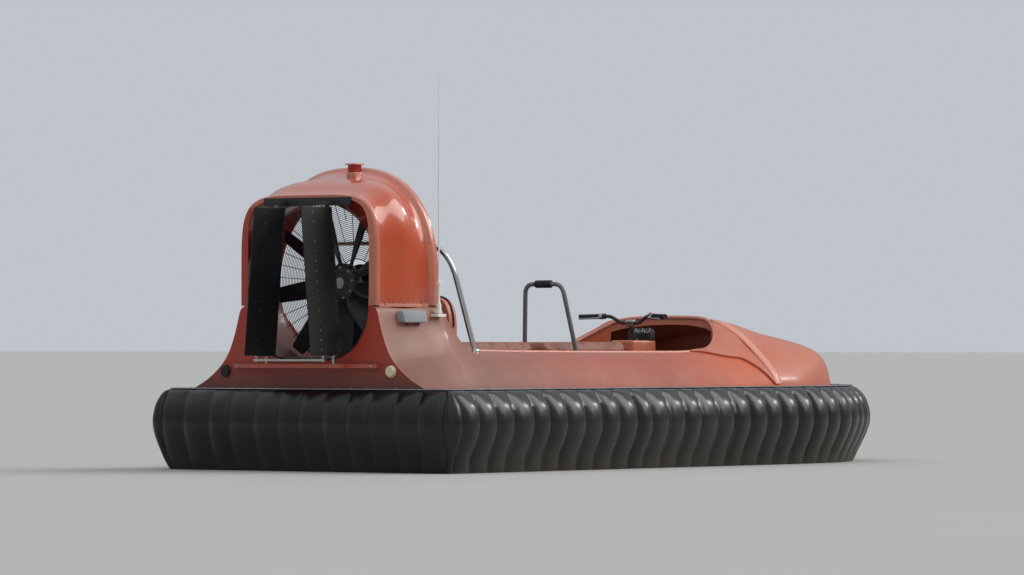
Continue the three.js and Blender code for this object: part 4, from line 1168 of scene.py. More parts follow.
class HOVERCRAFT_OT_foredeck(bpy.types.Operator):
    """Moulds the foredeck with the hood over the foot space, its lap and its rib"""

    bl_idname = "hovercraft.foredeck"
    bl_label = "Foredeck"

    def execute(self, context):
        hull, _, _ = sizes()
        stations = [
            *np.linspace(hull.joint_y, 2.30, 34),
            *np.linspace(2.33, FOREDECK[-1][0] * MM, 16),
        ]
        rings = []
        for y in stations:
            line = list(deck_profile(hull, FOREDECK, y, hull.proud, margin=False))
            line.append((line[-1][0], hull.flange_low))
            rings.append(full_ring(line, y))
        flange = upright_wall(whole_outline(hull, 0, 6, 60), hull.flange_low, hull.flange_top)
        aft = Shape()
        aft.block((-2, -4, 0), (2, hull.joint_y + 0.0003, 2), 0.0001)
        tunnel = [self.tunnel_ring(hull, y) for y in np.linspace(1.04, 1.68, 16)]
        mesh = cut(
            mesh_from(lofted(rings)),
            ("UNION", mesh_from(flange)),
            ("DIFFERENCE", mesh_from(aft)),
            ("DIFFERENCE", mesh_from(upright_wall(well_plan(hull), 0.4, 1.2))),
            ("DIFFERENCE", mesh_from(lofted(tunnel))),
        )
        place(mesh, "foredeck_moulding", "hood", "gelcoat_orange", ["foredeck"], 38)
        self.lap(hull)
        self.rib(hull)
        return {"FINISHED"}

    def tunnel_ring(self, hull, y):
        """The foot space under the hood: the deck's own section, lower and narrower."""
        lower, narrower, widest = 0.042, 0.060, 0.560
        line = deck_profile(hull, FOREDECK, max(y, FOREDECK[0][0] * MM), margin=False)
        points = [
            (min(max(x - narrower, 0), widest), max(z - lower, hull.flange_low)) for x, z in line
        ]
        points[0] = (0.0, points[0][1])
        points.append((widest, hull.flange_low - 0.03))
        return full_ring(points, y)

    # Where the moulding's edge crosses the side deck, and where its rib runs: y, and the
    # share of the way from the cockpit's rim to the deck's foot
    LAP_EDGE = [
        (0.600, 0.08), (0.650, 0.16), (0.700, 0.28), (0.760, 0.43), (0.850, 0.51), (0.930, 0.565),
        (1.020, 0.74), (1.070, 0.86), (1.110, 0.96), (1.1505, 1.0)
    ]
    RIB = [(1.238, 0.03), (1.215, 0.18), (1.185, 0.36), (1.155, 0.56), (1.145, 0.78), (1.158, 0.99)]

    def lap(self, hull):
        """The skirting of the moulding that laps over each side deck beside the hood."""
        edge = np.array(self.LAP_EDGE)
        for side, mirror in SIDES:
            rings = []
            for y in np.linspace(edge[0][0], edge[-1][0], 46):
                reach = float(flowing(edge[:, 0], edge[:, 1:], y)[0])
                thick = hull.proud * min(1, 0.25 + (y - edge[0][0]) / 0.10)
                top = self.strip(hull, y, reach, thick)
                under = self.strip(hull, y, reach, -0.003)
                lip = mix(top[-1], under[-1], 0.45) + (top[-1] - top[-2]) * 0.35
                rings.append([(x * mirror, y, z) for x, z in [*top, lip, *under[::-1]]])
            finish_shape(lofted(rings), f"foredeck_lap_{side}", "hood", "gelcoat_orange", (), 44)

    def strip(self, hull, y, reach, grow):
        """Points over the side deck from the cockpit wall out to a share of its width."""
        line = deck_profile(hull, SIDE_DECK, y, grow, margin=False)
        x0 = well_half_at(hull, y) + 0.002
        z0 = float(np.interp(x0, line[:15, 0], line[:15, 1]))
        outer = even(line[8:], 200)[: max(int(reach * 200), 2)]
        return even([(x0, z0), *[p for p in outer if p[0] > x0 + 0.001]], 40)

    def rib(self, hull):
        """The raised rib that stiffens the moulding ahead of its lap."""
        way = smooth_line(self.RIB, 8)
        for side, mirror in SIDES:
            spine, up = [], []
            for y, share in way:
                near = [self.on_deck(hull, y, share + d) for d in (-0.01, 0, 0.01)]
                along = near[2] - near[0]
                out = np.array([-along[1], along[0]]) / np.linalg.norm(along)
                out = out if out[1] > 0 else -out
                spine.append((near[1][0] * mirror, y, near[1][1]))
                up.append((out[0] * mirror, 0.0, out[1]))
            spine, up = np.array(spine), np.array(up)
            eased(spine, 4)
            rings = []
            for i in range(len(spine)):
                ahead = spine[min(i + 1, len(spine) - 1)] - spine[max(i - 1, 0)]
                across = np.cross(ahead / np.linalg.norm(ahead), up[i])
                fade = min(1, 0.2 + min(i, len(spine) - 1 - i) / 5)
                ring = []
                for a in np.radians(np.linspace(-25, 205, 12)):
                    out = across * math.cos(a) * hull.rib_width / 2
                    ring.append(
                        spine[i] + out + up[i] * (math.sin(a) * hull.rib_height * fade - 0.001)
                    )
                rings.append(ring)
            finish_shape(lofted(rings), f"foredeck_rib_{side}", "lap", "gelcoat_orange", (), 60)

    def on_deck(self, hull, y, share):
        table = SIDE_DECK if y < hull.joint_y else FOREDECK
        line = even(deck_profile(hull, table, y, hull.proud, margin=False)[8:], 101)
        at = np.clip(share, 0, 1) * 100
        return np.array([np.interp(at, np.arange(101), line[:, k]) for k in (0, 1)])


class HOVERCRAFT_OT_coaming(bpy.types.Operator):
    """Rolls the coaming edge round the cockpit opening"""

    bl_idname = "hovercraft.coaming"
    bl_label = "Coaming"

    def execute(self, context):
        hull, _, duct = sizes()
        plan = [(x, y) for x, y in well_plan(hull, 0, 40) if y > duct.front_y + 0.03]
        path = []
        for x, y in even(plan, 260):
            if y > hull.joint_y + 0.002:
                z = deck_height(hull, FOREDECK, x, y, hull.proud)
            else:
                z = deck_height(hull, SIDE_DECK, abs(x) + 0.006, y)
            path.append((x, y, z - 0.004))
        path = np.array(path)
        eased(path[:, 2], 6)
        shape = Shape()
        steps = np.arange(len(path))
        taper = np.minimum(1, 0.3 + np.minimum(steps, steps[::-1]) / 8)
        shape.tube(path, hull.coaming * taper, 14)
        finish_shape(shape, "coaming_roll", "lap", "gelcoat_orange", (), 60)
        return {"FINISHED"}


class HOVERCRAFT_OT_hull(bpy.types.Operator):
    """Moulds the lower hull with the cockpit well, and finishes the runners"""

    bl_idname = "hovercraft.hull"
    bl_label = "Lower hull"

    # Inset from the flange's edge and height, in millimetres
    RINGS = [(300, 200), (284, 203), (270, 213), (256, 235), (36, 452), (30, 460), (8, 479.7)]

    def execute(self, context):
        hull, _, _ = sizes()
        top = 0.6
        rings = []
        for inset, z in self.RINGS:
            rings.append([(x, y, z * MM) for x, y in whole_outline(hull, inset * MM)])
        well = upright_wall(well_plan(hull, 0.006), hull.well_floor, top)
        feet = Shape()
        feet.block((-0.56, 0.99, hull.well_floor), (0.56, 1.66, top), 0.02)
        mesh = cut(
            mesh_from(lofted(rings)),
            ("DIFFERENCE", mesh_from(well)),
            ("DIFFERENCE", mesh_from(feet)),
        )
        place(mesh, "hull_moulding", "hull", "hull_grey", ["hull_bottom"], 30)
        for name in ("hull_runner_port", "hull_runner_starboard"):
            dress_node(name, "runner", 0.006)
        return {"FINISHED"}


def dress_node(name, finish, bevel):
    """Gives a carried-over construction piece its finish and breaks its edges."""
    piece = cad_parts[name]
    piece.data.materials.clear()
    piece.data.materials.append(finish_named(finish))
    edge = piece.modifiers.new("broken_edges", "BEVEL")
    edge.width, edge.segments, edge.limit_method = bevel, 3, "ANGLE"
    edge.angle_limit = math.radians(35)


# Duct

# Where the passage becomes round, and where its inlet starts to flare
ROUND_Y, FLARE_Y = -2.215, -2.100
# How far ahead of the outlet its upper corners start to fill in, and are filled
FILL_START, FILL_REACH = 0.006, 0.060


def superellipse(half_width, top, bottom, upper_power, lower_power, turns):
    """A round-cornered box section about the middle of its height, at each angle."""
    middle_z, half_height = (top + bottom) / 2, (top - bottom) / 2
    c, s = np.cos(turns), np.sin(turns)
    power = np.where(s > 0, upper_power, lower_power)
    r = (np.abs(c / half_width) ** power + np.abs(s / half_height) ** power) ** (-1 / power)
    return np.column_stack([r * c, middle_z + r * s])


def bore_section(duct, y, turns):
    """The air passage: square-cornered at the outlet, its upper corners filled in just ahead of
    that, round at the fan and flared at the inlet."""
    fill_top, lip_flare = 1.640, 0.038
    outlet = superellipse(duct.outlet_half, duct.outlet_top, duct.outlet_low, 6, 3, turns)
    fan_room = duct.fan_r + 0.012
    if y > FLARE_Y:
        t = min((y - FLARE_Y) / (duct.front_y - FLARE_Y), 1)
        fan_room += lip_flare * (1 - math.sqrt(max(1 - t * t, 0)))
    ring = np.column_stack([fan_room * np.cos(turns), duct.axis_z + fan_room * np.sin(turns)])
    share = float(np.clip((y - duct.rear_y) / (ROUND_Y - duct.rear_y), 0, 1))
    straight = mix(outlet, ring, share)
    wide = mix(duct.outlet_half, fan_room, share)
    middle_z = mix((duct.outlet_top + duct.outlet_low) / 2, duct.axis_z, share)
    rounder = superellipse(wide, fill_top, 2 * middle_z - fill_top, 2.2, 2.2, turns)
    lip_y, full_y = duct.rear_y + FILL_START, duct.rear_y + FILL_REACH
    filled = np.interp(y, (lip_y, full_y, full_y + 0.030, ROUND_Y), (0, 1, 1, 0))
    upper = np.sin(turns)[:, None] > 0
    return np.where(upper, mix(straight, rounder, filled), straight)


def bore_stations(duct):
    """Places along the passage from the outlet to where it is round."""
    lip_y, full_y = duct.rear_y + FILL_START, duct.rear_y + FILL_REACH
    return [duct.rear_y, *np.linspace(lip_y, full_y, 9), *np.linspace(full_y + 0.015, ROUND_Y, 9)]


# The cowl's outside: y, half width, top and how square its corners are, in millimetres
COWL = [
    (-2510, 528, 1682, 5.0),
    (-2497, 538, 1689, 5.0),
    (-2486, 540, 1690, 5.0),
    (-2476, 531, 1683, 5.0),
    (-2300, 584, 1764, 4.2),
    (-2114, 631, 1836, 2.4),
    (-2103, 645, 1850, 2.4),
    (-2092, 653, 1859, 2.4),
    (-2062, 655, 1862, 2.4),
    (-2053, 651, 1858, 2.4),
    (-2050, 645, 1850, 2.4),
]


def cowl_section(duct, y, turns):
    values = flowing([row[0] for row in COWL], [row[1:] for row in COWL], y / MM)
    half, top = values[0] * MM, values[1] * MM
    return superellipse(half, top, 2 * duct.axis_z - top, values[2], values[2], turns)


def cowl_seam_x(duct, y):
    """Half width of the cowl at the seam."""
    turns = np.radians(np.linspace(-30, 10, 41))
    line = cowl_section(duct, y, turns)
    return float(np.interp(duct.seam_z, line[:, 1], line[:, 0]))


class HOVERCRAFT_OT_cowl(bpy.types.Operator):
    """Moulds the upper half of the duct, and bolts it down through its seam flange"""

    bl_idname = "hovercraft.cowl"
    bl_label = "Duct cowl"

    def execute(self, context):
        _, _, duct = sizes()
        turns = np.radians(np.linspace(-24, 204, 150))
        outside = [
            *np.linspace(duct.rear_y, -2.470, 12),
            *np.linspace(-2.455, -2.130, 18),
            *np.linspace(-2.120, -2.052, 16),
            duct.front_y,
        ]
        inside = [*np.linspace(duct.front_y, FLARE_Y, 12), -2.16, *reversed(bore_stations(duct))]
        walls = [(y, cowl_section(duct, y, turns)) for y in outside]
        walls += [(y, bore_section(duct, y, turns)) for y in inside]
        shape = Shape()
        shape.loft([[(w[i][0], y, w[i][1]) for y, w in walls] for i in range(len(turns))])
        mesh = mesh_from(shape)
        below = Shape()
        below.block((-1, -3, 0), (1, -1.5, duct.seam_z + 0.00015), 0.0001)
        mesh = cut(mesh, ("DIFFERENCE", mesh_from(below)))
        place(mesh, "cowl_moulding", "cowl", "gelcoat_orange", ["duct_cowl"], 40)
        self.seam_flange(duct)
        return {"FINISHED"}

    def seam_flange(self, duct):
        """The lip along each side where the cowl is bolted to the pedestal."""
        reach, thick, soft = 0.022, 0.010, 0.002
        shape = Shape()
        for mirror in (-1, 1):
            rings = []
            for y in np.linspace(duct.rear_y + 0.035, duct.front_y - 0.070, 24):
                x = cowl_seam_x(duct, y)
                fade = 8 * (y - duct.rear_y - 0.03), 8 * (duct.front_y - 0.065 - y) + 0.1
                out = x + reach * min(1, *fade)
                upper = [(out, thick - soft), (out - soft, thick), (x - 0.02, thick)]
                corners = [*((cx, -cz) for cx, cz in reversed(upper)), *upper]
                rings.append([(cx * mirror, y, duct.seam_z + cz) for cx, cz in corners])
            shape.loft(rings)
        shape.paint = 1
        for mirror in (-1, 1):
            for y in np.linspace(duct.rear_y + 0.075, duct.front_y - 0.11, 5):
                x = (cowl_seam_x(duct, y) + 0.009) * mirror
                shape.bolt((x, y, duct.seam_z + thick), (0, 0, 1), 0.010)
        finish_shape(shape, "cowl_seam_flange", "lap zinc", "gelcoat_orange", (), 40)


class HOVERCRAFT_OT_pedestal(bpy.types.Operator):
    """Moulds the stern pedestal round the lower half of the duct"""

    bl_idname = "hovercraft.pedestal"
    bl_label = "Stern pedestal"

    def execute(self, context):
        hull, _, duct = sizes()
        rings = []
        for y in np.linspace(duct.rear_y, duct.front_y, 24):
            line = deck_profile(hull, SIDE_DECK, y)
            line[:, 1] = np.minimum(line[:, 1], duct.seam_z - 0.00015)
            rings.append(full_ring(list(line), y))
        body = mesh_from(lofted(rings))
        turns = np.radians(np.linspace(0, 360, 145)[:-1])
        stations = [duct.rear_y - 0.06, *bore_stations(duct)]
        stations += [*np.linspace(FLARE_Y, duct.front_y, 10), duct.front_y + 0.06]
        rings = []
        for y in stations:
            line = bore_section(duct, min(max(y, duct.rear_y), duct.front_y), turns)
            rings.append([(x, y, z) for x, z in line])
        mesh = cut(body, ("DIFFERENCE", mesh_from(lofted(rings))))
        place(mesh, "pedestal_moulding", "stern", "gelcoat_orange", ["stern_pedestal"], 32)
        dress_node("duct_splitter", "hull", 0.003)
        self.fittings(duct)
        return {"FINISHED"}

    def fittings(self, duct):
        """Bolts, the outlet's rubber edging and the two round caps on the stern panel."""
        shape = Shape()
        turns = np.radians(np.linspace(-203, 23, 90))
        edge = [
            (x, z) for x, z in bore_section(duct, duct.rear_y, turns) if z < duct.seam_z - 0.012
        ]
        shape.tube([(x * 1.004, duct.rear_y, z) for x, z in edge], 0.0055, 8)
        shape.paint = 1
        for x in np.linspace(-0.52, 0.52, 9):
            shape.bolt((x, duct.rear_y - 0.035, 0.6425), (0, -1, 0), 0.009)
        finish_shape(shape, "stern_fittings", "rubber zinc", "rubber_black", (), 40)
        self.cap("stern_cap_port", "rubber", "rubber_black")
        self.cap("stern_cap_starboard", "cream_plastic", "cap_cream")

    def cap(self, name, finish, slot):
        """A turned cap with twelve grips round its rim."""
        at, seat = middle(name), high(name).y
        shape = Shape()
        profile = [
            (0.0005, 0), (0.0378, 0), (0.038, 0.003), (0.037, 0.007), (0.033, 0.009),
            (0.0322, 0.018), (0.029, 0.0215), (0.012, 0.0215), (0.010, 0.0195), (0.0005, 0.0195)
        ]
        shape.lathe(profile, (at.x, seat, at.z), (0, -1, 0), 32)
        for dx, dz in circle(12, 0, 0.0325):
            x, z = at.x + dx, at.z + dz
            shape.rod((x, seat - 0.008, z), (x, seat - 0.019, z), 0.0022, 6)
        finish_shape(shape, name + "_turned", finish, slot, [name], 40)


class HOVERCRAFT_OT_lamp(bpy.types.Operator):
    """Makes the lamp on the cowl: an orange foot, a dark red lens and a pale lid"""

    bl_idname = "hovercraft.lamp"
    bl_label = "Cowl lamp"

    def execute(self, context):
        _, _, duct = sizes()
        lo, hi = low("cowl_lamp"), high("cowl_lamp")
        foot_top, lens_top = hi.z - 0.052, hi.z - 0.009

        def tier(shape, inset_x, inset_y, bottom, top, edge):
            inset = Vector((inset_x, inset_y))
            shape.block((*(lo.xy + inset), bottom), (*(hi.xy - inset), top), edge)

        foot = Shape()
        tier(foot, 0.006, 0.004, lo.z - 0.02, foot_top, 0.012)
        turns = np.radians(np.linspace(-30, 210, 120))
        rings = []
        for y in np.linspace(lo.y - 0.05, hi.y + 0.05, 14):
            rings.append([(x, y, z - 0.004) for x, z in cowl_section(duct, y, turns)])
        mesh = cut(mesh_from(foot), ("DIFFERENCE", mesh_from(lofted(rings))))
        place(mesh, "cowl_lamp_foot", "cowl", "gelcoat_orange", (), 40)
        shape = Shape()
        tier(shape, 0.012, 0.010, foot_top - 0.002, lens_top, 0.010)
        shape.paint = 1
        tier(shape, 0.0005, 0.0005, lens_top - 0.001, hi.z, 0.004)
        finish_shape(shape, "cowl_lamp_lens", "red_lens lap", "lamp_red", ["cowl_lamp"], 40)
        return {"FINISHED"}


# Fan, guard and drive

# Blade sections: radius, chord, thickness in millimetres and pitch in degrees
BLADE = [(92, 128, 20, 52), (210, 132, 16, 40), (370, 118, 12, 29), (560, 92, 8, 21)]


def airfoil(chord, thick):
    """A closed ring of (along, off) pairs, nose at -chord / 2."""
    camber = 0.03
    share = (1 - np.cos(np.linspace(0, math.pi, 12))) / 2
    # The usual half thickness of a four-digit airfoil
    half = 0.2969 * np.sqrt(share) - 0.126 * share - 0.3516 * share**2
    half += 0.2843 * share**3 - 0.1015 * share**4
    half = np.maximum(5 * thick * half, 0.0006)
    bend = camber * chord * 4 * share * (1 - share)
    upper = np.column_stack([(share - 0.5) * chord, bend + half])
    lower = np.column_stack([(share - 0.5) * chord, bend - half])
    return np.vstack([upper, lower[::-1]])


def axes_at(origin, u, v):
    """A frame whose first two axes are u and v, for plates and blocks set at a slant."""
    u, v = Vector(u).normalized(), Vector(v).normalized()
    w = u.cross(v).normalized()
    v = w.cross(u)
    rows = [(u[i], v[i], w[i], origin[i]) for i in range(3)]
    return Matrix((*rows, (0, 0, 0, 1)))


class HOVERCRAFT_OT_fan(bpy.types.Operator):
    """Makes the nine-blade fan with its clamped hub and its shaft"""

    bl_idname = "hovercraft.fan"
    bl_label = "Fan"

    def execute(self, context):
        _, _, duct = sizes()
        shape = Shape()
        centre = Vector((0, duct.fan_y, duct.axis_z))
        stations = [92, 104, 120, 150, 190, 230, 275, 320, 370, 420, 465, 505, 535, 552, 559.5]
        blade = [self.blade_ring(radius) for radius in stations]

        def turns(share):
            """The turn of each blade, from a share of the step between two."""
            step = 2 * math.pi / duct.blades
            return [Matrix.Rotation(step * (i + share), 3, "Y") for i in range(duct.blades)]

        for turn in turns(0.3):
            shape.loft([[turn @ point + centre for point in ring] for ring in blade])
        shape.paint = 1
        hub = [
            (0.020, -0.046), (0.066, -0.046), (0.070, -0.050), (0.082, -0.050), (0.104, -0.040),
            (0.109, -0.036), (0.110, -0.030), (0.110, -0.006), (0.106, -0.003), (0.106, 0.003),
            (0.110, 0.006), (0.110, 0.032), (0.107, 0.038), (0.084, 0.049), (0.034, 0.049),
            (0.030, 0.044), (0.020, 0.044),
        ]
        shape.lathe(hub, centre, (0, 1, 0), 54)
        out = Vector((1, 0, 0))
        for turn in turns(0.3):
            path = [centre + turn @ out * r for r in (0.098, 0.114, 0.118)]
            shape.tube(path, [0.033, 0.033, 0.029], 20)
        shape.paint = 2
        for turn in turns(0.8):
            for side, face in ((-1, -0.0445), (1, 0.0425)):
                at = centre + turn @ out * 0.094 + Vector((0, face, 0))
                shape.bolt(at, (0, side, 0), 0.012, 0.008)
        cap = [
            (0.001, 0), (0.034, 0), (0.034, 0.003), (0.024, 0.0035), (0.022, 0.005), (0.001, 0.0055)
        ]
        shape.lathe(cap, centre + Vector((0, -0.046, 0)), (0, -1, 0), 24)
        shaft_end = high("fan").y
        shape.rod(centre + Vector((0, 0.04, 0)), (0, shaft_end, duct.axis_z), 0.020, 32)
        finish_shape(shape, "fan_built", "fan steel_paint zinc", "fan_plastic", ["fan"], 34, "fan")
        return {"FINISHED"}

    def blade_ring(self, radius):
        """A blade's section: thicker at its root, narrower at its tip, turned by its pitch."""
        chord, thick, pitch = flowing([row[0] for row in BLADE], [row[1:] for row in BLADE], radius)
        root, tip = max(0, 1 - (radius - 92) / 45), max(0, (radius - 535) / 25)
        chord *= (1 - 0.22 * tip**2) * (1 - 0.35 * root)
        s, c = math.sin(math.radians(pitch)), math.cos(math.radians(pitch))
        section = airfoil(chord * MM, thick * (1 + 1.1 * root) * MM)
        return [
            Vector((radius * MM, along * s + off * c, along * c - off * s)) for along,
            off in section
        ]


class HOVERCRAFT_OT_inlet_guard(bpy.types.Operator):
    """Welds the wire guard over the duct's inlet"""

    bl_idname = "hovercraft.inlet_guard"
    bl_label = "Inlet guard"

    def execute(self, context):
        _, _, duct = sizes()
        plane = middle("inlet_guard").y
        shape = Shape()
        rim = 0.616

        def at(x, off, z):
            return x, plane + off, duct.axis_z + z

        def wire_ring(radius, off, wire, sides):
            path = [at(x, off, z) for x, z in circle(96, 0, radius)]
            shape.tube(path, wire, sides, closed=True)

        wire_ring(rim, 0, 0.0049, 10)
        for radius in np.linspace(0.150, 0.590, 37):
            wire_ring(radius, 0.0016, 0.0036 if radius < 0.16 else 0.0021, 6)
        for i, (c, s) in enumerate(circle(duct.guard_spokes, 0.5)):
            start = 0.150 if i % 4 == 0 else 0.272 if i % 2 == 0 else 0.394
            shape.rod(*(at(r * c, -0.0018, r * s) for r in (start, rim)), 0.0024, 6)
        shape.paint = 1
        for c, s in circle(10, 0.25):
            tab = axes_at(at(0.624 * c, -0.0048, 0.624 * s), (c, 0, s), (s, 0, -c))
            corners = round_rect((-0.014, -0.011), (0.014, 0.011), 0.004)
            shape.plate(corners, -0.0005, 0.0075, tab)
            shape.bolt(tab @ Vector((0.005, 0, 0.0075)), (0, 1, 0), 0.008, 0.005)
        finish_shape(
            shape, "inlet_guard_welded", "steel_paint zinc", "coated_steel", ["inlet_guard"], 40
        )
        return {"FINISHED"}


class HOVERCRAFT_OT_fan_frame(bpy.types.Operator):
    """Welds the frame that carries the fan's bearing"""

    bl_idname = "hovercraft.fan_frame"
    bl_label = "Fan frame"

    def execute(self, context):
        _, _, duct = sizes()
        y0, y1 = -1.920, -1.866
        y, z, floor = (y0 + y1) / 2, duct.axis_z, low("fan_frame").z
        shape = Shape()
        for side in (-1, 1):
            x = side * 0.300
            shape.rod((x, y, floor + 0.010), (side * 0.030, y, z - 0.020), 0.0235, 24)
            shape.block(
                (x - 0.055, y - 0.040, floor), (x + 0.055, y + 0.040, floor + 0.012), 0.006
            )
            gusset = [(0.0, 0.0), (0.050, 0.0), (0.012, 0.060), (0.0, 0.060)]
            base = axes_at((side * 0.290, y, floor + 0.010), (side, 0, 0), (0, 0, 1))
            shape.plate(gusset, -0.003, 0.003, base)
            web = [(0.0, 0.0), (0.075, -0.055), (0.085, -0.040), (0.010, 0.030)]
            base = axes_at((side * 0.040, y, z - 0.030), (side, 0, 0), (0, 0, 1))
            shape.plate(web, -0.003, 0.003, base)
        shape.rod((-0.165, y, 0.760), (0.165, y, 0.760), 0.0175, 20)
        half = [(0.0215, 0), (0.052, 0), (0.052, 0.006), (0.0615, 0.010), (0.062, 0.014)]
        housing = half + [(r, y1 - y0 - h) for r, h in reversed(half)]
        shape.ring_turned(housing, (0, y0, z), (0, 1, 0), 40)
        shape.paint = 1
        for dx, dz in circle(6, 0, 0.044):
            shape.bolt((dx, y1, z + dz), (0, 1, 0), 0.009)
        for side in (-1, 1):
            for dx, dy in ((-0.038, -0.026), (-0.038, 0.026), (0.040, -0.026), (0.040, 0.026)):
                shape.bolt((side * 0.300 + dx, y + dy, floor + 0.012), (0, 0, 1), 0.010)
        shape.rod((0.0, y, z + 0.060), (0.0, y, z + 0.072), 0.004, 8)
        name = "fan_frame"
        finish_shape(shape, name + "_welded", "steel_paint zinc", "coated_steel", [name], 38)
        return {"FINISHED"}


class HOVERCRAFT_OT_belt_cover(bpy.types.Operator):
    """Moulds the cover over the drive belt"""

    bl_idname = "hovercraft.belt_cover"
    bl_label = "Belt cover"

    def execute(self, context):
        _, _, duct = sizes()
        y0, y1 = low("belt_cover").y, high("belt_cover").y
        top_z, low_z = duct.axis_z, 0.520
        # The flange and its step, then the rounded face: depths and how far the edge draws in
        flange = ((0, 0.004), (0.002, 0.001), (0.006, 0), (0.022, 0), (0.024, 0.006))
        face = ((0.014, 0.009), (0.006, 0.012), (0.001, 0.020), (0, 0.026))
        levels = [(y0 + out, inset) for out, inset in flange]
        levels += [(y1 - out, inset) for out, inset in face]
        rings = []
        for y, inset in levels:
            rings.append([(x, y, z) for x, z in self.outline(top_z, low_z, inset)])
        hole = Shape()
        hole.rod((0, y0 - 0.02, top_z), (0, y1 + 0.02, top_z), 0.030, 40)
        mesh = cut(mesh_from(lofted(rings)), ("DIFFERENCE", mesh_from(hole)))
        place(mesh, "belt_cover_moulding", "abs", "fan_plastic", ["belt_cover"], 34)
        trim = Shape()
        for z in np.linspace(low_z + 0.10, top_z - 0.15, 9):
            half = mix(0.060, 0.078, (z - low_z) / (top_z - low_z))
            trim.block((-half, y1 - 0.004, z - 0.004), (half, y1 + 0.0025, z + 0.004), 0.003)
        trim.paint = 1
        rim = self.outline(top_z, low_z, 0.0045)
        rim.append(rim[0])
        for x, z in even(rim, 17)[:-1]:
            trim.screw((x * 0.985, y0 + 0.0225, z), (0, 1, 0), 0.004)
        finish_shape(trim, "belt_cover_trim", "abs zinc", "fan_plastic", (), 34)
        return {"FINISHED"}

    def outline(self, top_z, low_z, inset):
        """The two pulleys' rounds, the upper one larger."""
        upper = [(top_z, 0.118 - inset, a) for a in np.linspace(0, math.pi, 33)]
        lower = [(low_z, 0.092 - inset, a) for a in np.linspace(math.pi, 2 * math.pi, 33)]
        return [(r * math.cos(a), z + r * math.sin(a)) for z, r, a in upper + lower]


class HOVERCRAFT_OT_rudders(bpy.types.Operator):
    """Skins the two leaning rudders and finishes what carries and joins them"""

    bl_idname = "hovercraft.rudders"
    bl_label = "Rudders"

    MIDDLE = (0.2215, -2.588, 1.150)
    LEAN = 4.9
    LOW, HIGH = -0.444, 0.456
    # Half thickness and distance ahead of the pivot, nose to tail, in millimetres
    SECTION = [
        (0, 76), (8, 73.5), (14, 64), (18, 48), (20, 26), (20, -20), (19, -70), (15.5, -115),
        (11, -160), (3, -211), (0.8, -212)
    ]

    def execute(self, context):
        half = smooth_line(self.SECTION, 3) * MM
        half = np.clip(half, (0, -0.2118), (0.020, 0.0758))
        ring = [*half, *[(-x, y) for x, y in half[::-1][:-1]]]
        for side, sign in SIDES:
            x, y, z = self.MIDDLE
            lean = Matrix.Rotation(-sign * math.radians(self.LEAN), 4, "Y")
            stand = Matrix.Translation((sign * x, y, z)) @ lean
            shape = Shape()
            ends = ((0, 0.94), (0.003, 0.985), (0.008, 1))
            levels = [(self.LOW + up, s) for up, s in ends]
            levels += [(h, 1) for h in np.linspace(-0.40, 0.41, 12)]
            levels += [(self.HIGH - down, s) for down, s in reversed(ends)]

            def post(a, b, radius, sides, ahead=0):
                """A rod along the rudder's own height."""
                ends = [stand @ Vector((0, ahead, h)) for h in (a, b)]
                shape.rod(*ends, radius, sides)

            shape.loft([[stand @ Vector((px * s, py, h)) for px, py in ring] for h, s in levels])
            shape.paint = 2
            plate = [(px * 0.96, py * 0.985) for px, py in ring]
            shape.plate(plate, self.LOW - 0.0025, self.LOW + 0.001, stand, 0.0006)
            shape.plate(plate, self.HIGH - 0.001, self.HIGH + 0.0025, stand, 0.0006)
            shape.paint = 1
            post(self.LOW - 0.073, self.LOW + 0.02, 0.0088, 20)
            post(self.HIGH - 0.02, self.HIGH + 0.035, 0.0088, 20)
            post(self.HIGH, self.HIGH + 0.012, 0.014, 6)
            post(self.LOW - 0.012, self.LOW, 0.017, 24)
            arm = -0.095
            post(self.LOW - 0.043, self.LOW + 0.02, 0.0058, 16, arm)
            post(self.LOW - 0.0125, self.LOW, 0.0105, 6, arm)
            half_horn = [(0.014, 0.02), (0.012, -0.03), (0.011, arm), (0.008, arm - 0.012)]
            horn = half_horn + [(-px, py) for px, py in reversed(half_horn)]
            shape.plate(horn, self.LOW - 0.008, self.LOW - 0.0026, stand, 0.0006)
            for h in np.linspace(self.LOW + 0.03, self.HIGH - 0.03, 15):
                for at, out in ((0.050, 0.0172), (-0.120, 0.0148)):
                    for face in (-1, 1):
                        steps = (-0.001, 0.0006, 0.0013)
                        head = [stand @ Vector((face * (out + step), at, h)) for step in steps]
                        shape.tube(head, [0.0032, 0.0032, 0.0012], 8)
            name = f"rudder_{side}"
            finish_shape(
                shape, name + "_skinned", "vane zinc steel_paint", "rudder_black", [name], 34, name
            )
        dress_node("rudder_shelf", "shelf", 0.004)
        dress_node("rudder_beam", "steel_paint", 0.0022)
        dress_node("rudder_tie_bar", "stainless", 0.0025)
        return {"FINISHED"}


# Engine and exhaust


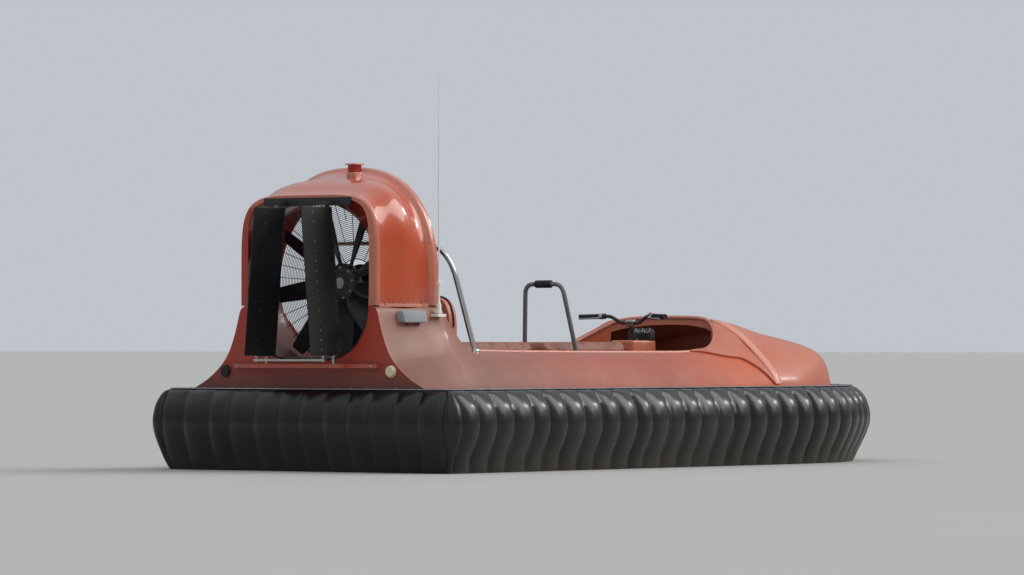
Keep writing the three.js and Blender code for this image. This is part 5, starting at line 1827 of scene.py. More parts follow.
class HOVERCRAFT_OT_engine(bpy.types.Operator):
    """Builds the twin-cylinder engine with its fins, plugs, carburettors and pull starter"""

    bl_idname = "hovercraft.engine"
    bl_label = "Engine"

    def execute(self, context):
        floor = low("engine").z
        cylinders = (-1.775, -1.640)
        shape = Shape()
        shape.block((-0.165, -1.842, floor + 0.018), (0.165, -1.570, floor + 0.235), 0.020)
        shape.block((-0.118, -1.830, floor + 0.225), (0.118, -1.586, floor + 0.322), 0.018)
        for y in np.linspace(-1.825, -1.587, 8):
            for side in (-1, 1):
                x = side * 0.165
                lowest, highest = (x - 0.005, y - 0.004), (x + 0.005, y + 0.004)
                shape.block((*lowest, floor + 0.04), (*highest, floor + 0.215), 0.002)
        pulley = [(0.001, 0), (0.046, 0), (0.046, 0.040), (0.040, 0.048), (0.040, 0.0895)]
        shape.lathe(pulley, (0, -1.830, 0.500), (0, -1, 0), 36)
        for y in cylinders:
            shape.rod((0, y, 0.600), (0, y, 0.702), 0.050, 32)
            for z in np.linspace(0.628, 0.700, 9):
                shape.block(
                    (-0.0655, y - 0.062, z - 0.0016), (0.0655, y + 0.062, z + 0.0016), 0.020
                )
            shape.rod((0, y, 0.700), (0, y, 0.708), 0.024, 20)
            for dx, dy in corners_of(0.036, 0.036):
                shape.rod((dx, y + dy, 0.698), (dx, y + dy, 0.709), 0.006, 6)
        shape.paint = 1
        for y in cylinders:
            shape.rod((0, y, 0.706), (0, y, 0.7275), 0.0085, 12)
            lead = [
                (0, 0, 0.722), (0.028, -0.004, 0.7235), (0.068, -0.012, 0.700),
                (0.104, -0.010, 0.650), (0.112, 0, 0.604)
            ]
            shape.tube(smooth_line([(x, y + dy, z) for x, dy, z in lead], 5), 0.0038, 8)
        shape.block((-0.172, -1.700, floor), (-0.120, -1.660, floor + 0.02), 0.006)
        for x in (-0.140, 0.140):
            for y in (-1.810, -1.602):
                shape.rod((x, y, floor), (x, y, floor + 0.020), 0.026, 24)
        shape.paint = 2
        # The pull starter's housing, its vent ribs and below its screws
        starter_y, starter_z = -1.706, 0.420
        housing = [
            (0.001, 0.076), (0.020, 0.076), (0.024, 0.070), (0.048, 0.066), (0.058, 0.058),
            (0.062, 0.046), (0.062, 0.006), (0.056, 0),
        ]
        shape.lathe(housing, (0.160, starter_y, starter_z), (1, 0, 0), 40)
        rib = [(-0.010, -0.002), (0.010, -0.002), (0.010, 0.002), (-0.010, 0.002)]
        for c, s in circle(14):
            at = (0.2245, starter_y + 0.044 * c, starter_z + 0.044 * s)
            shape.plate(rib, 0, 0.0045, axes_at(at, (0, c, s), (0, -s, c)), 0.0005)
        for y in cylinders:
            shape.rod((-0.050, y, 0.640), (-0.105, y, 0.640), 0.020, 24)
            shape.block((-0.150, y - 0.022, 0.618), (-0.100, y + 0.022, 0.668), 0.008)
        shape.paint = 3
        for x, y in ((-0.11, -1.826), (0.11, -1.826), (-0.11, -1.590), (0.11, -1.590), (0, -1.590)):
            shape.bolt((x, y, floor + 0.322), (0, 0, 1), 0.010)
        for c, s in circle(6):
            at = (0.206, starter_y + 0.0615 * c, starter_z + 0.0615 * s)
            shape.screw(at, (0, c, s), 0.003)
        finish_shape(shape, "engine_built", "cast rubber abs zinc", "engine_metal", ["engine"], 32)
        self.silencer()
        return {"FINISHED"}

    def silencer(self):
        y, z, floor = -1.706, 0.400, low("exhaust_silencer").z
        shape = Shape()
        profile = [
            (0.001, 0), (0.060, 0.001), (0.074, 0.006), (0.078, 0.014), (0.078, 0.030),
            (0.0755, 0.032), (0.0755, 0.034), (0.078, 0.036)
        ]
        profile += [(r, 0.210 - h) for r, h in reversed(profile)]
        shape.lathe(profile, (-0.420, y, z), (1, 0, 0), 48)
        shape.rod((-0.214, y, z), (-0.1712, y, z), 0.0255, 24)
        flange = [(0.026, 0), (0.036, 0), (0.036, 0.006), (0.026, 0.006)]
        shape.lathe(flange, (-0.182, y, z), (1, 0, 0), 24)
        shape.rod((-0.380, y, z - 0.070), (-0.380, y, floor), 0.020, 16)
        shape.rod((-0.380, y, floor + 0.004), (-0.380, y, floor), 0.036, 20)
        tail = [(-1.740, 0.430), (-1.800, 0.447), (-1.850, 0.458), (-1.899, 0.470)]
        shape.tube(
            smooth_line([(-0.330, tail_y, tail_z) for tail_y, tail_z in tail], 4), 0.0225, 20
        )
        clamp = [(0.0225, 0), (0.025, 0.001), (0.025, 0.016), (0.0225, 0.017)]
        shape.ring_turned(clamp, (-0.330, -1.810, 0.4495), (0, -0.98, 0.2), 24)
        shape.paint = 1
        strap = [(0.077, 0), (0.0805, 0.001), (0.0805, 0.015), (0.077, 0.016)]
        for x in (-0.372, -0.258):
            shape.ring_turned(strap, (x - 0.008, y, z), (1, 0, 0), 48)
            shape.block((x - 0.010, y - 0.094, z - 0.006), (x + 0.010, y - 0.078, z + 0.006), 0.003)
            shape.bolt((x, y - 0.086, z + 0.006), (0, 0, 1), 0.009)
        name = "exhaust_silencer"
        finish_shape(shape, name + "_welded", "silencer zinc", "coated_steel", [name], 34)


# Cockpit


def across(point, sign=-1):
    """A point on the other side of the craft, or with sign 1 where it is."""
    return Vector((point[0] * sign, point[1], point[2]))


def corners_of(half_u, half_v):
    return [(u, v) for u in (-half_u, half_u) for v in (-half_v, half_v)]


def collar(radius, half):
    """A clamp round the handlebar's tube, with softened edges."""
    bar = 0.0122
    outer = [(radius - 0.001, half), (radius, half - 0.002)]
    start = [(r, -h) for r, h in ((bar, half), *outer)]
    return [*start, *reversed(outer), (bar, half)]


def moulded_block(shape, half_x, y0, y1, z0, z1, corner, draft, soft):
    """A moulding with upright edges swept round, sides drawn in and a softened top."""
    rings = []
    levels = [(z0, 0.0), (z0 + 0.004, 0.0)]
    levels += [(mix(z0, z1 - soft, t), draft * t) for t in (0.25, 0.5, 0.75, 1.0)]
    for a in np.linspace(0, math.pi / 2, 6)[1:]:
        levels.append((z1 - soft + soft * math.sin(a), draft + soft * (1 - math.cos(a))))
    for z, inset in levels:
        ring = round_rect((-half_x, y0), (half_x, y1), corner, inset, 6)
        rings.append([(x, y, z) for x, y in ring])
    shape.loft(rings)


class HOVERCRAFT_OT_seat_base(bpy.types.Operator):
    """Moulds the seat pod with its locker lids, and the board behind the passenger"""

    bl_idname = "hovercraft.seat_base"
    bl_label = "Seat base and back"

    LIDS = ((-1.15, -0.72), (-0.58, -0.15), (0.02, 0.50))

    def execute(self, context):
        lo, hi = low("seat_pod"), high("seat_pod")
        shape = Shape()
        moulded_block(shape, hi.x, lo.y, hi.y, lo.z, hi.z, 0.045, 0.014, 0.016)
        # A lip that laps over the pod's sides under the cushions
        inset = Vector((0.014, 0.008))
        rings = []
        for down, out in ((0.034, 0), (0.033, 0.006), (0.012, 0.006), (0.006, 0.004), (0.002, 0)):
            ring = round_rect(lo.xy + inset, hi.xy - inset, 0.042, -out, 6)
            rings.append([(x, y, hi.z - down) for x, y in ring])
        shape.loft(rings)
        for side in (-1, 1):
            for y0, y1 in self.LIDS:
                lid = round_rect((y0, 0.40), (y1, 0.585), 0.03)
                face = axes_at((side * (hi.x - 0.0085), 0, 0), (0, side, 0), (0, 0, 1))
                shape.plate([(side * u, v) for u, v in lid], -0.006, 0.0045, face, 0.002)
        shape.paint = 1
        for side in (-1, 1):
            for y0, y1 in self.LIDS:
                mid, x = (y0 + y1) / 2, side * (hi.x - 0.004)
                inner, outer = sorted((x, x + side * 0.008))
                shape.block((inner, mid - 0.022, 0.555), (outer, mid + 0.022, 0.580), 0.003)
                x += side * 0.002
                for y in (y0 + 0.05, y1 - 0.05):
                    shape.rod((x, y - 0.024, 0.402), (x, y + 0.024, 0.402), 0.0042, 10)
        finish_shape(shape, "seat_pod_moulding", "hood zinc", "gelcoat_orange", ["seat_pod"], 36)
        self.back()
        return {"FINISHED"}

    def back(self):
        lo, hi = low("seat_back"), high("seat_back")
        outline = [
            (-0.205, lo.z), (-0.205, hi.z - 0.10), (-0.150, hi.z), (0.150, hi.z),
            (0.205, hi.z - 0.10), (0.205, lo.z)
        ]
        line = rounded(outline, [0.09, 0.07, 0.07, 0.09], 8)
        rings = []
        for y, inset in (
            (hi.y, 0.014), (hi.y - 0.003, 0.005), (hi.y - 0.010, 0.0005), (lo.y + 0.010, 0.004),
            (lo.y + 0.003, 0.009), (lo.y, 0.018)
        ):
            ring = []
            for x, z in line:
                away = Vector((x, 0, max(z - 0.6, 0)))
                away = away.normalized() if away.length else away
                ring.append((x - away.x * inset, y, z - away.z * inset if z > lo.z + 0.001 else z))
            rings.append(ring)
        shape = Shape()
        shape.loft(rings)
        for z in (0.50, 0.64, 0.78):
            shape.block((-0.150, lo.y, z - 0.011), (0.150, lo.y + 0.006, z + 0.011), 0.005)
        shape.paint = 1
        edge = [(x, (lo.y + hi.y) / 2, z + 0.001) for x, z in line if z > 0.42]
        shape.tube(edge, 0.0075, 10)
        shape.paint = 2
        for x in (-0.17, 0.17):
            for z in (0.36, 0.46, 0.60):
                shape.bolt((x, lo.y + 0.003, z), (0, -1, 0), 0.010)
        finish_shape(
            shape, "seat_back_moulding", "hood rubber zinc", "gelcoat_orange", ["seat_back"], 36
        )


class HOVERCRAFT_OT_cushions(bpy.types.Operator):
    """Stuffs and sews the two straddle cushions and the passenger's back pad"""

    bl_idname = "hovercraft.cushions"
    bl_label = "Cushions"

    # How far a point may move while the cover fills out
    SWELL = 0.011
    EVENING = 60

    def execute(self, context):
        for name in ("seat_cushion_front", "seat_cushion_rear"):
            lo, hi = low(name), high(name)
            mesh = self.draft(lo + Vector((0.007, 0.007, 0)), hi - Vector((0.007, 0.007, 0.012)))
            self.pad(mesh, name + "_stuffed", name, lo, hi)
            self.piping(name, lo, hi)
        front = high("seat_back").y
        lo, hi = Vector((-0.160, front + 0.001, 0.815)), Vector((0.160, front + 0.048, 1.035))
        inset = Vector((0.010, 0, 0.010)), Vector((0.010, 0.014, 0.010))
        mesh = self.draft(lo + inset[0], hi - inset[1], upright=True)
        self.pad(mesh, "seat_back_pad", None, lo, hi)
        return {"FINISHED"}

    def draft(self, lo, hi, upright=False):
        """The cover before it is filled: crowned and narrower at its waist."""
        shape = Shape()
        rings = []
        levels = 9
        for k in range(levels + 1):
            t = k / levels
            waist = 0.006 * math.sin(math.pi * t)
            if upright:
                y = mix(lo.y, hi.y, t)
                round_off = 0.020 * max(0, (t - 0.55) / 0.45) ** 2
                ring = round_rect((lo.x, lo.z), (hi.x, hi.z), 0.045, round_off + waist * 0.5, 5)
                rings.append([(x, y, z) for x, z in ring])
            else:
                z = mix(lo.z, hi.z, t)
                round_off = 0.024 * max(0, (t - 0.6) / 0.4) ** 2
                ring = round_rect((lo.x, lo.y), (hi.x, hi.y), 0.055, round_off + waist, 5)
                rings.append([(x, y, z) for x, y in ring])
        shape.loft(rings)
        return mesh_from(shape)

    def pad(self, mesh, name, node_name, lo, hi):
        cover = bpy.data.objects.new("cover", mesh)
        bpy.context.scene.collection.objects.link(cover)
        weave = cover.modifiers.new("remesh", "REMESH")
        weave.mode, weave.voxel_size = "VOXEL", 0.0055
        bpy.context.view_layer.update()
        graph = bpy.context.evaluated_depsgraph_get()
        fine = bpy.data.meshes.new_from_object(cover.evaluated_get(graph))
        bpy.data.objects.remove(cover)
        start = self.points_of(fine)
        filled = self.inflate(fine)
        move = self.evened(fine, filled - start)
        far = np.linalg.norm(move, axis=1)
        move *= np.minimum(1, self.SWELL / np.maximum(far, 1e-9))[:, None]
        # The cover is stapled down round its foot, and only its upper part fills out
        up = 1 if node_name is None else 2
        free = np.clip((start[:, up] - lo[up] - 0.020) / 0.035, 0, 1)
        start = start + move * (free * free * (3 - 2 * free))[:, None]
        start = self.sew(start, lo, hi, upright=node_name is None)
        start = np.clip(start, np.array(lo) + 0.0004, np.array(hi) - 0.0004)
        fine.vertices.foreach_set("co", start.ravel())
        fine.update()
        cushion = place(fine, name, "vinyl", "seat_vinyl", [node_name] if node_name else (), 180)
        smooth = cushion.modifiers.new("subdivision", "SUBSURF")
        smooth.levels = smooth.render_levels = 1

    def evened(self, mesh, move):
        """The filling's movement, shared with its neighbours so that no corner stands up."""
        ends = np.empty(len(mesh.edges) * 2, int)
        mesh.edges.foreach_get("vertices", ends)
        a, b = ends.reshape(-1, 2).T
        links = np.bincount(ends, minlength=len(move))
        for _ in range(self.EVENING):
            for k in range(3):
                beside = np.bincount(a, move[b, k], len(move)) + np.bincount(
                    b, move[a, k], len(move)
                )
                move[:, k] = (move[:, k] + beside / links) / 2
        return move

    def points_of(self, mesh):
        flat = np.empty(len(mesh.vertices) * 3)
        mesh.vertices.foreach_get("co", flat)
        return flat.reshape(-1, 3)

    def inflate(self, mesh):
        """Fills the cover with cloth pressure and gives back where its points end up."""
        scene = bpy.context.scene
        trial = bpy.data.objects.new("trial", mesh.copy())
        scene.collection.objects.link(trial)
        cloth = trial.modifiers.new("cloth", "CLOTH")
        cloth.settings.quality = 5
        cloth.settings.use_pressure = True
        cloth.settings.uniform_pressure_force = 4.0
        cloth.settings.effector_weights.gravity = 0.0
        cloth.settings.tension_stiffness = cloth.settings.compression_stiffness = 30.0
        cloth.settings.bending_stiffness = 4.0
        cloth.point_cache.frame_start, cloth.point_cache.frame_end = 1, 20
        for step in range(1, 21):
            scene.frame_set(step)
        graph = bpy.context.evaluated_depsgraph_get()
        filled = bpy.data.meshes.new_from_object(trial.evaluated_get(graph))
        points = self.points_of(filled)
        bpy.data.objects.remove(trial)
        bpy.data.meshes.remove(filled)
        scene.frame_set(1)
        return points

    def sew(self, points, lo, hi, upright):
        """Draws the sewn channels into the filled cover, with the small tucks beside them."""
        lo, hi = np.array(lo), np.array(hi)
        span = hi - lo
        if upright:
            along, across, up = points[:, 2], points[:, 0], points[:, 1]
            along_lo, along_span, up_lo, up_span = lo[2], span[2], lo[1], span[1]
            seams = (0.35, 0.65)
        else:
            along, across, up = points[:, 1], points[:, 0], points[:, 2]
            along_lo, along_span, up_lo, up_span = lo[1], span[1], lo[2], span[2]
            seams = (0.14, 0.32, 0.50, 0.68, 0.86)
        top = np.clip((up - up_lo - 0.45 * up_span) / (0.4 * up_span), 0, 1)
        drop = np.zeros(len(points))
        for share in seams:
            off = np.abs(along - along_lo - share * along_span)
            drop += 0.0085 * np.exp(-((off / 0.0085) ** 2)) + 0.003 * np.exp(-((off / 0.030) ** 2))
            tucks = np.sin(across / 0.011) * np.exp(-(((off - 0.012) / 0.009) ** 2))
            drop += 0.0009 * tucks
        moved = points.copy()
        moved[:, 1 if upright else 2] -= drop * top
        if not upright:
            edge = np.clip((np.abs(across) - 0.115) / 0.03, 0, 1)
            moved[:, 2] -= 0.004 * edge**2 * top
        return moved

    def piping(self, node_name, lo, hi):
        """The piped seam round the cushion's lower edge."""
        shape = Shape()
        inset = Vector((0.0035, 0.0035))
        ring = round_rect(lo.xy + inset, hi.xy - inset, 0.055, 0, 10)
        shape.tube([(x, y, lo.z + 0.030) for x, y in ring], 0.0034, 8, closed=True)
        finish_shape(shape, node_name + "_piping", "vinyl", "seat_vinyl", (), 60)


class HOVERCRAFT_OT_console(bpy.types.Operator):
    """Moulds the console and builds the instrument pod on it"""

    bl_idname = "hovercraft.console"
    bl_label = "Console and instruments"

    def execute(self, context):
        lo, hi = low("console"), high("console")
        body = Shape()
        moulded_block(body, hi.x, lo.y, hi.y, lo.z, hi.z, 0.034, 0.012, 0.016)
        bore = Shape()
        foot, way = Vector(STEM_FOOT), Vector(STEM_WAY)
        bore.rod(foot - way * 0.06, foot + way * 0.06, 0.0166, 32)
        mesh = cut(mesh_from(body), ("DIFFERENCE", mesh_from(bore)))
        place(mesh, "console_moulding", "hood", "gelcoat_orange", ["console"], 36)
        trim = Shape()
        gaiter = [(0.0215, 0), (0.031, 0), (0.031, 0.002), (0.028, 0.006), (0.0215, 0.006)]
        trim.ring_turned(gaiter, foot, way, 32)
        for side in (-1, 1):
            face = axes_at((side * (hi.x - 0.0095), 0.845, 0.58), (0, side, 0), (0, 0, 1))
            trim.plate(round_rect((-0.09, -0.13), (0.09, 0.13), 0.02), -0.004, 0.004, face, 0.0015)
        trim.paint = 1
        for side in (-1, 1):
            for dy, dz in corners_of(0.078, 0.118):
                trim.screw((side * (hi.x - 0.0055), 0.845 + dy, 0.58 + dz), (side, 0, 0), 0.0035)
        trim.paint = 2
        trim.rod((0.045, lo.y + 0.006, 0.735), (0.045, lo.y - 0.009, 0.735), 0.012, 24)
        trim.paint = 0
        trim.rod((-0.045, lo.y + 0.006, 0.735), (-0.045, lo.y - 0.006, 0.735), 0.013, 24)
        finish_shape(trim, "console_trim", "abs zinc red_plastic", "fan_plastic", (), 36)
        self.instruments()
        return {"FINISHED"}

    def instruments(self):
        lo, hi = low("instrument_pod"), high("instrument_pod")
        shape = Shape()
        # The face leans ahead, so a driver looks squarely at the dials
        brow, ridge = (lo.y + 0.002, hi.z - 0.034), (hi.y - 0.026, hi.z)
        outline = [(lo.y, lo.z), brow, ridge, (hi.y, hi.z - 0.020), (hi.y, lo.z)]
        profile = rounded(outline, [0.006, 0.008, 0.012], 4)
        mid_y = (lo.y + hi.y) / 2
        ends = ((0.092, 0.006), (0.089, 0.0015), (0.084, 0))
        rings = []
        for x, inset in (*((-x, inset) for x, inset in ends), *reversed(ends)):
            rings.append(
                [(x, y + inset * np.sign(mid_y - y), max(z - inset, lo.z)) for y, z in profile]
            )
        shape.loft(rings)
        a, b = Vector((0, *brow)), Vector((0, *ridge))
        mark, pivot = Vector((0, 0, 0.0011)), Vector((0, 0, 0.0018))

        def ray(degrees):
            turn = math.radians(degrees)
            return Vector((math.cos(turn), math.sin(turn), 0))

        for x in (-0.056, 0.0, 0.056):
            face = axes_at((a + b) / 2 + Vector((x, 0, 0)), (1, 0, 0), (b - a).normalized())
            at, out = face.translation, Vector((face[0][2], face[1][2], face[2][2]))
            shape.paint = 1
            bezel = [(0.0195, 0), (0.0225, 0), (0.0225, 0.003), (0.0205, 0.0045), (0.0195, 0.003)]
            shape.ring_turned(bezel, at - out * 0.001, out, 36)
            shape.paint = 2
            disc = [(0.001, 0), (0.0196, 0), (0.0196, 0.0012), (0.001, 0.0012)]
            shape.lathe(disc, at - out * 0.0004, out, 36)
            shape.paint = 3
            for k in range(11):
                way = ray(-225 + 27 * k)
                shape.rod(face @ (way * 0.0145 + mark), face @ (way * 0.0178 + mark), 0.0005, 6)
            needle = ray(-160 if x else -100) * 0.0135
            shape.rod(face @ pivot, face @ (needle + pivot), 0.0006, 6)
            shape.paint = 1
            hub = [(0.001, 0), (0.0022, 0), (0.0022, 0.002), (0.001, 0.0024)]
            shape.lathe(hub, at + out * 0.001, out, 12)
        name, finishes = "instrument_pod", "abs stainless dial dial_marks"
        finish_shape(shape, name + "_built", finishes, "fan_plastic", [name], 34)


class HOVERCRAFT_OT_handlebar(bpy.types.Operator):
    """Bends the handlebar, and fits its stem clamp, levers, switches and grips"""

    bl_idname = "hovercraft.handlebar"
    bl_label = "Handlebar"

    def execute(self, context):
        foot, way = Vector(STEM_FOOT), Vector(STEM_WAY)
        mid = foot + way * 0.118
        bends = ((0.070, 0, 0), (0.150, -0.020, 0.046), (0.345, -0.092, 0.040))
        half = [mid + Vector(bend) for bend in bends]
        path = rounded([*(across(p) for p in reversed(half)), *half], [0.026] * 4, 6)
        shape = Shape()
        shape.tube(path, 0.0118, 20)
        shape.rod(foot - way * 0.046, foot + way * 0.104, 0.0158, 32)
        shape.paint = 1
        ahead = Vector((1, 0, 0)).cross(way)
        frame_of = axes_at(mid, (1, 0, 0), ahead)
        shape.block((-0.034, -0.020, -0.020), (0.034, 0.020, -0.001), 0.005, frame_of)
        shape.block((-0.034, -0.020, 0.001), (0.034, 0.020, 0.019), 0.005, frame_of)
        shape.paint = 2
        for x, y in corners_of(0.024, 0.014):
            shape.bolt(frame_of @ Vector((x, y, 0.019)), way, 0.007, 0.005)
        for sign in (-1, 1):
            a, b = (across(p, sign) for p in half[1:])
            run = (b - a).normalized()
            fore = way.cross(run) * (1 if sign < 0 else -1)
            perch = a + (b - a) * 0.30
            shape.paint = 1
            shape.ring_turned(collar(0.0195, 0.011), perch, run, 24)
            pivot = perch + fore * 0.030
            shape.rod(perch + fore * 0.014, pivot + fore * 0.006, 0.009, 12)
            tip = a + (b - a) * 0.96 + fore * 0.044
            bow = [(0, 0), (0.25, 0.008), (0.6, 0.004), (1, 0)]
            lever = smooth_line([mix(pivot, tip, t) + fore * out for t, out in bow], 5)
            thick = [0, 0.15, 0.9, 1], [0.0075, 0.0052, 0.0048, 0.0062]
            shape.tube(lever, np.interp(np.linspace(0, 1, len(lever)), *thick), 10)
            shape.paint = 3
            block_at = a + (b - a) * 0.20
            shape.ring_turned(collar(0.018, 0.013), block_at, run, 24)
            if sign > 0:
                shape.paint = 4
                shape.rod(block_at + way * 0.016, block_at + way * 0.024, 0.006, 16)
        finishes = "steel_paint alloy zinc abs red_plastic"
        finish_shape(
            shape, "handlebar_built", finishes, "coated_steel", ["handlebar"], 34, "handlebar"
        )
        for side, sign in SIDES:
            self.grip(f"grip_{side}", *(across(p, sign) for p in half[1:]))
        return {"FINISHED"}

    def grip(self, name, a, b):
        """A ribbed rubber grip with a flange at its inner end."""
        start, end = a + (b - a) * 0.381, a + (b - a) * 1.019
        run, ribs = (end - start).length, 17
        profile = [(0.0126, 0), (0.0176, 0), (0.018, 0.002), (0.018, 0.005), (0.0160, 0.008)]
        step = (run - 0.024) / ribs
        rib = ((0.0158, 0), (0.0172, 0.18), (0.0172, 0.62), (0.0158, 0.8))
        for k in range(ribs):
            profile += [(r, 0.012 + step * (k + t)) for r, t in rib]
        profile += [
            (0.0158, run - 0.012), (0.018, run - 0.009), (0.018, run - 0.002), (0.0168, run)
        ]
        shape = Shape()
        shape.ring_turned([*profile, (0.0126, run)], start, (b - a).normalized(), 28)
        finish_shape(shape, name + "_moulded", "rubber", "rubber_black", [name], 50, "handlebar")


def hoop(foot, top, bend, bend_steps, count, radius, sides):
    """A tube bent into a hoop over the craft, from one foot to its mirror."""
    shape = Shape()
    corners = [foot, top, tuple(across(top)), tuple(across(foot))]
    line = even(rounded(corners, [bend, bend], bend_steps), count)
    shape.tube(line, radius, sides)
    return shape


class HOVERCRAFT_OT_hoops(bpy.types.Operator):
    """Bends the passenger's grab hoop and the guard hoop ahead of the fan"""

    bl_idname = "hovercraft.hoops"
    bl_label = "Hoops"

    def execute(self, context):
        floor = low("grab_hoop").z
        foot_x, foot_y, top_x, top_y, top_z = 0.266, 0.012, 0.146, -0.128, 1.160
        shape = hoop(
            (foot_x, foot_y, floor + 0.007), (top_x, top_y, top_z), 0.062, 12, 90, 0.0148, 20
        )
        flange = [
            (0.001, 0), (0.0375, 0), (0.038, 0.002), (0.038, 0.006), (0.036, 0.0085),
            (0.020, 0.010), (0.001, 0.010)
        ]
        for side in (-1, 1):
            shape.lathe(flange, (side * foot_x, foot_y, floor), (0, 0, 1), 32)
        shape.paint = 1
        for side in (-1, 1):
            for dx, dy in circle(4, 0.5, 0.028):
                at = (side * foot_x + dx, foot_y + dy, floor + 0.0085)
                shape.bolt(at, (0, 0, 1), 0.007, 0.005)
        finish_shape(shape, "grab_hoop_bent", "hoop zinc", "coated_steel", ["grab_hoop"], 40)
        sleeve = Shape()
        profile = [(0.0152, 0), (0.0215, 0), (0.0245, 0.003), (0.025, 0.008)]
        for k in range(9):
            h = 0.014 + 0.0107 * k
            profile += [(0.0238, h), (0.025, h + 0.002), (0.025, h + 0.0085)]
        profile += [(0.025, 0.116), (0.0245, 0.121), (0.0215, 0.124), (0.0152, 0.124)]
        sleeve.ring_turned(profile, (-0.062, top_y, top_z), (1, 0, 0), 36)
        finish_shape(sleeve, "grab_hoop_sleeve", "rubber", "rubber_black", ["grab_hoop_grip"], 40)
        self.guard()
        return {"FINISHED"}

    def guard(self):
        hull, _, _ = sizes()
        x, y = 0.652, -1.690
        z = deck_height(hull, SIDE_DECK, x, y)
        shape = hoop((x, y, z - 0.004), (0.526, -1.812, 1.402), 0.230, 16, 140, 0.0168, 24)
        flange = [
            (0.001, -0.008), (0.030, -0.008), (0.030, 0.010), (0.028, 0.0125), (0.019, 0.014),
            (0.001, 0.014)
        ]
        for side in (-1, 1):
            shape.lathe(flange, (side * x, y, z), (0, 0, 1), 32)
        shape.paint = 1
        for side in (-1, 1):
            for dx, dy in circle(3, 0.25, 0.0235):
                shape.screw((side * x + dx, y + dy, z + 0.0118), (0, 0, 1), 0.0032)
        finish_shape(shape, "guard_hoop_bent", "stainless zinc", "stainless", ["guard_hoop"], 40)


class HOVERCRAFT_OT_fittings(bpy.types.Operator):
    """Fits the control box, the antenna and its bracket on the starboard wall"""

    bl_idname = "hovercraft.fittings"
    bl_label = "Control box and antenna"

    def execute(self, context):
        self.box()
        self.antenna()
        return {"FINISHED"}

    def wall(self, y, z):
        hull, _, _ = sizes()
        line = deck_profile(hull, SIDE_DECK, y, margin=False)[12:]
        return float(np.interp(-z, -line[:, 1], line[:, 0]))

    def box(self):
        lo, hi = low("control_box"), high("control_box")
        shape = Shape()
        rings = []
        for out, inset in (
            (-0.012, 0), (0.030, 0), (0.031, -0.0022), (0.034, -0.0022), (0.035, 0),
            (0.048, 0.0004), (0.0505, 0.0022), (0.0515, 0.006)
        ):
            ring = []
            corners = (lo.y + 0.002, lo.z + 0.002), (hi.y - 0.002, hi.z - 0.002)
            for y, z in round_rect(*corners, 0.012, inset, 5):
                ring.append((self.wall(y, z) + out, y, z))
            rings.append(ring)
        shape.loft(rings)
        shape.paint = 1
        for y in (lo.y + 0.016, hi.y - 0.016):
            for z in (lo.z + 0.014, hi.z - 0.014):
                shape.screw((self.wall(y, z) + 0.050, y, z), (1, 0, 0.2), 0.0034, 0.003)
        shape.paint = 2
        for y in (lo.y + 0.045, hi.y - 0.045):
            x = self.wall(y, lo.z) + 0.020
            shape.rod((x, y, lo.z + 0.006), (x, y, lo.z - 0.008), 0.0085, 6)
            shape.rod((x, y, lo.z - 0.006), (x, y, lo.z - 0.014), 0.0060, 14)
        name, finishes = "control_box", "grey_plastic zinc abs"
        finish_shape(shape, name + "_moulded", finishes, "grey_plastic", [name], 36)

    def antenna(self):
        dress_node("antenna_bracket", "white_plastic", 0.0025)
        x, y = middle("antenna_whip").xy
        foot, tip = low("antenna_whip").z, high("antenna_whip").z
        shape = Shape()
        profile = [
            (0.001, 0), (0.0168, 0), (0.017, 0.003), (0.017, 0.016), (0.0155, 0.020),
            (0.0155, 0.052), (0.013, 0.060), (0.010, 0.070), (0.0070, 0.076), (0.0070, 0.166),
            (0.0078, 0.170), (0.0116, 0.175), (0.0120, 0.180), (0.0118, 0.192), (0.0085, 0.204),
            (0.0056, 0.210)
        ]
        top = tip - foot
        profile += [
            (mix(0.0055, 0.0025, t), mix(0.212, top - 0.004, t)) for t in np.linspace(0, 1, 12)
        ]
        profile += [(0.0034, top - 0.0038), (0.0036, top - 0.002), (0.0026, top), (0.0008, top)]
        shape.lathe(profile, (x, y, foot), (0, 0, 1), 20)
        shape.paint = 1
        shape.rod((x, y, foot + 0.001), (x, y, foot + 0.009), 0.0185, 6)
        ledge = high("antenna_bracket").z
        for dy in (-0.027, 0.027):
            at = (self.wall(y + dy, ledge) + 0.012, y + dy, ledge)
            shape.bolt(at, (0, 0, 1), 0.007, 0.005)
        name, finishes = "antenna_whip", "white_plastic zinc"
        finish_shape(shape, name + "_sleeved", finishes, "white_plastic", [name], 36)


# Stage


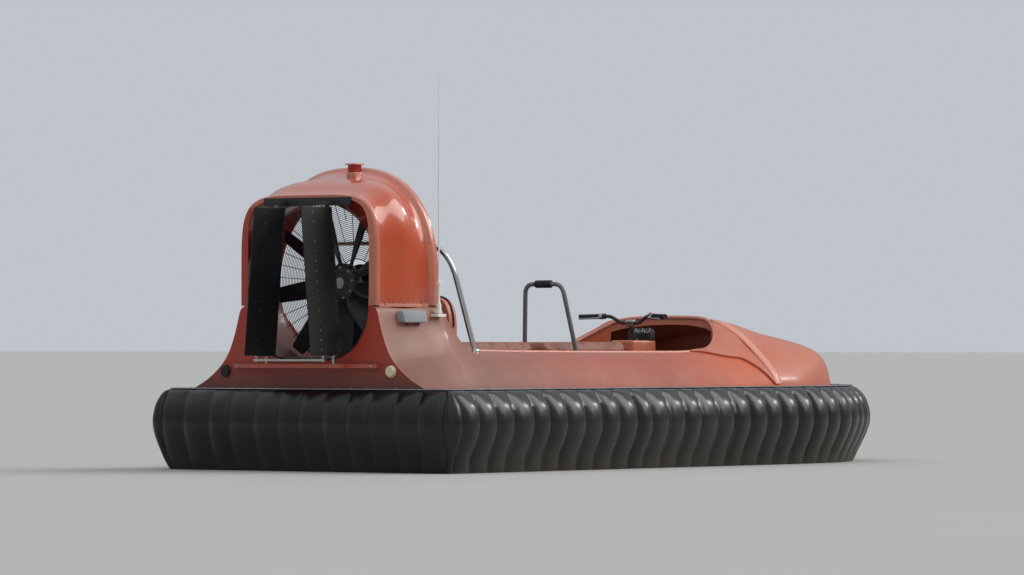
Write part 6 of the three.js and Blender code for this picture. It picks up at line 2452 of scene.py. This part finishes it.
class HOVERCRAFT_OT_stage(bpy.types.Operator):
    """Sets the camera, the pale floor and the soft studio lamps"""

    bl_idname = "hovercraft.stage"
    bl_label = "Camera, floor and lamps"

    def execute(self, context):
        scene = context.scene
        finish, stage = scene.craft_finish, scene.craft_stage
        camera = bpy.data.objects.new("camera", bpy.data.cameras.new("camera"))
        scene.collection.objects.link(camera)
        camera.location = (stage.camera_x, stage.camera_y, stage.camera_z)
        camera.rotation_euler = (math.pi / 2 + stage.pitch, 0, stage.yaw)
        camera.data.lens = stage.lens
        camera.data.clip_end = 2000
        scene.camera = camera
        scene.view_settings.view_transform = "Standard"

        w = stage.floor_half
        mesh = bpy.data.meshes.new("studio_floor")
        mesh.from_pydata([(-w, -w, 0), (w, -w, 0), (w, w, 0), (-w, w, 0)], [], [(0, 1, 2, 3)])
        mesh.materials.append(self.floor_paint(finish))
        floor = bpy.data.objects.new("studio_floor", mesh)
        scene.collection.objects.link(floor)

        world = scene.world or bpy.data.worlds.new("studio")
        scene.world = world
        world.use_nodes = True
        tree = world.node_tree
        back = tree.nodes["Background"]
        back.inputs["Color"].default_value = (*finish.sky, 1)
        # A broad soft light overhead, darker walls: decks shine and sides keep their colour
        way = node(tree, "ShaderNodeTexCoord").outputs["Generated"]
        up = ramp(tree, separate(tree, way)["Z"], 0.0, 0.85, stage.horizon, stage.overhead)
        # The surround is drawn paler than it lights, as a lit studio wall would be
        seen = node(tree, "ShaderNodeLightPath").outputs["Is Camera Ray"]
        strength = node(tree, "ShaderNodeMix", {0: seen, 2: up, 3: stage.backdrop}).outputs[0]
        tree.links.new(strength, back.inputs["Strength"])
        self.sun("key", (0.66, 0.46, 0.64), stage.key, 40, (1.0, 0.975, 0.93))
        self.sun("glint", (0.42, 0.80, 0.44), stage.glint, 8, (1.0, 0.98, 0.95))
        self.sun("fill", (0.45, -0.80, 0.55), stage.fill, 70, (0.90, 0.95, 1.0))
        return {"FINISHED"}

    def floor_paint(self, finish):
        """A painted studio floor: pale, matt and nearly even."""
        material, tree, shader, at = surface("paint_pale_rolled", finish.floor, 0.85)
        tone = ramp(tree, blotches(tree, at, 2.5), 0.3, 0.7)
        link_look(tree, shader, tinted(tree, tone, finish.floor, [c * 1.04 for c in finish.floor]))
        return material

    def sun(self, name, away, strength, spread, tint):
        """A broad even lamp, so the floor has no bright pool."""
        light = bpy.data.lights.new(name, "SUN")
        light.energy, light.color, light.angle = strength, tint, math.radians(spread)
        lamp = bpy.data.objects.new(name, light)
        lamp.rotation_euler = Vector(away).to_track_quat("Z", "Y").to_euler()
        bpy.context.scene.collection.objects.link(lamp)


PIECES = (
    HOVERCRAFT_OT_skirt,
    HOVERCRAFT_OT_skirt_strip,
    HOVERCRAFT_OT_hull,
    HOVERCRAFT_OT_side_decks,
    HOVERCRAFT_OT_foredeck,
    HOVERCRAFT_OT_coaming,
    HOVERCRAFT_OT_pedestal,
    HOVERCRAFT_OT_cowl,
    HOVERCRAFT_OT_lamp,
    HOVERCRAFT_OT_fan,
    HOVERCRAFT_OT_inlet_guard,
    HOVERCRAFT_OT_fan_frame,
    HOVERCRAFT_OT_belt_cover,
    HOVERCRAFT_OT_rudders,
    HOVERCRAFT_OT_engine,
    HOVERCRAFT_OT_seat_base,
    HOVERCRAFT_OT_cushions,
    HOVERCRAFT_OT_console,
    HOVERCRAFT_OT_handlebar,
    HOVERCRAFT_OT_hoops,
    HOVERCRAFT_OT_fittings,
    HOVERCRAFT_OT_stage,
)
GROUPS = (HullSizes, SkirtSizes, DuctSizes, Finish, StageSizes)


class HOVERCRAFT_PT_panel(bpy.types.Panel):
    """Lists the craft's pieces in the sidebar"""

    bl_idname = "HOVERCRAFT_PT_panel"
    bl_label = "Hovercraft"
    bl_space_type = "VIEW_3D"
    bl_region_type = "UI"
    bl_category = "Hovercraft"

    def draw(self, context):
        for piece in PIECES:
            self.layout.operator(piece.bl_idname)


def register():
    for made in (*GROUPS, *PIECES, HOVERCRAFT_PT_panel):
        bpy.utils.register_class(made)
    bpy.types.Scene.craft_hull = PointerProperty(type=HullSizes)
    bpy.types.Scene.craft_skirt = PointerProperty(type=SkirtSizes)
    bpy.types.Scene.craft_duct = PointerProperty(type=DuctSizes)
    bpy.types.Scene.craft_finish = PointerProperty(type=Finish)
    bpy.types.Scene.craft_stage = PointerProperty(type=StageSizes)


def unregister():
    for name in ("craft_hull", "craft_skirt", "craft_duct", "craft_finish", "craft_stage"):
        delattr(bpy.types.Scene, name)
    for made in reversed((*GROUPS, *PIECES, HOVERCRAFT_PT_panel)):
        bpy.utils.unregister_class(made)


def main():
    register()
    for piece in PIECES:
        group, name = piece.bl_idname.split(".")
        getattr(getattr(bpy.ops, group), name)()


if __name__ == "__main__":
    main()
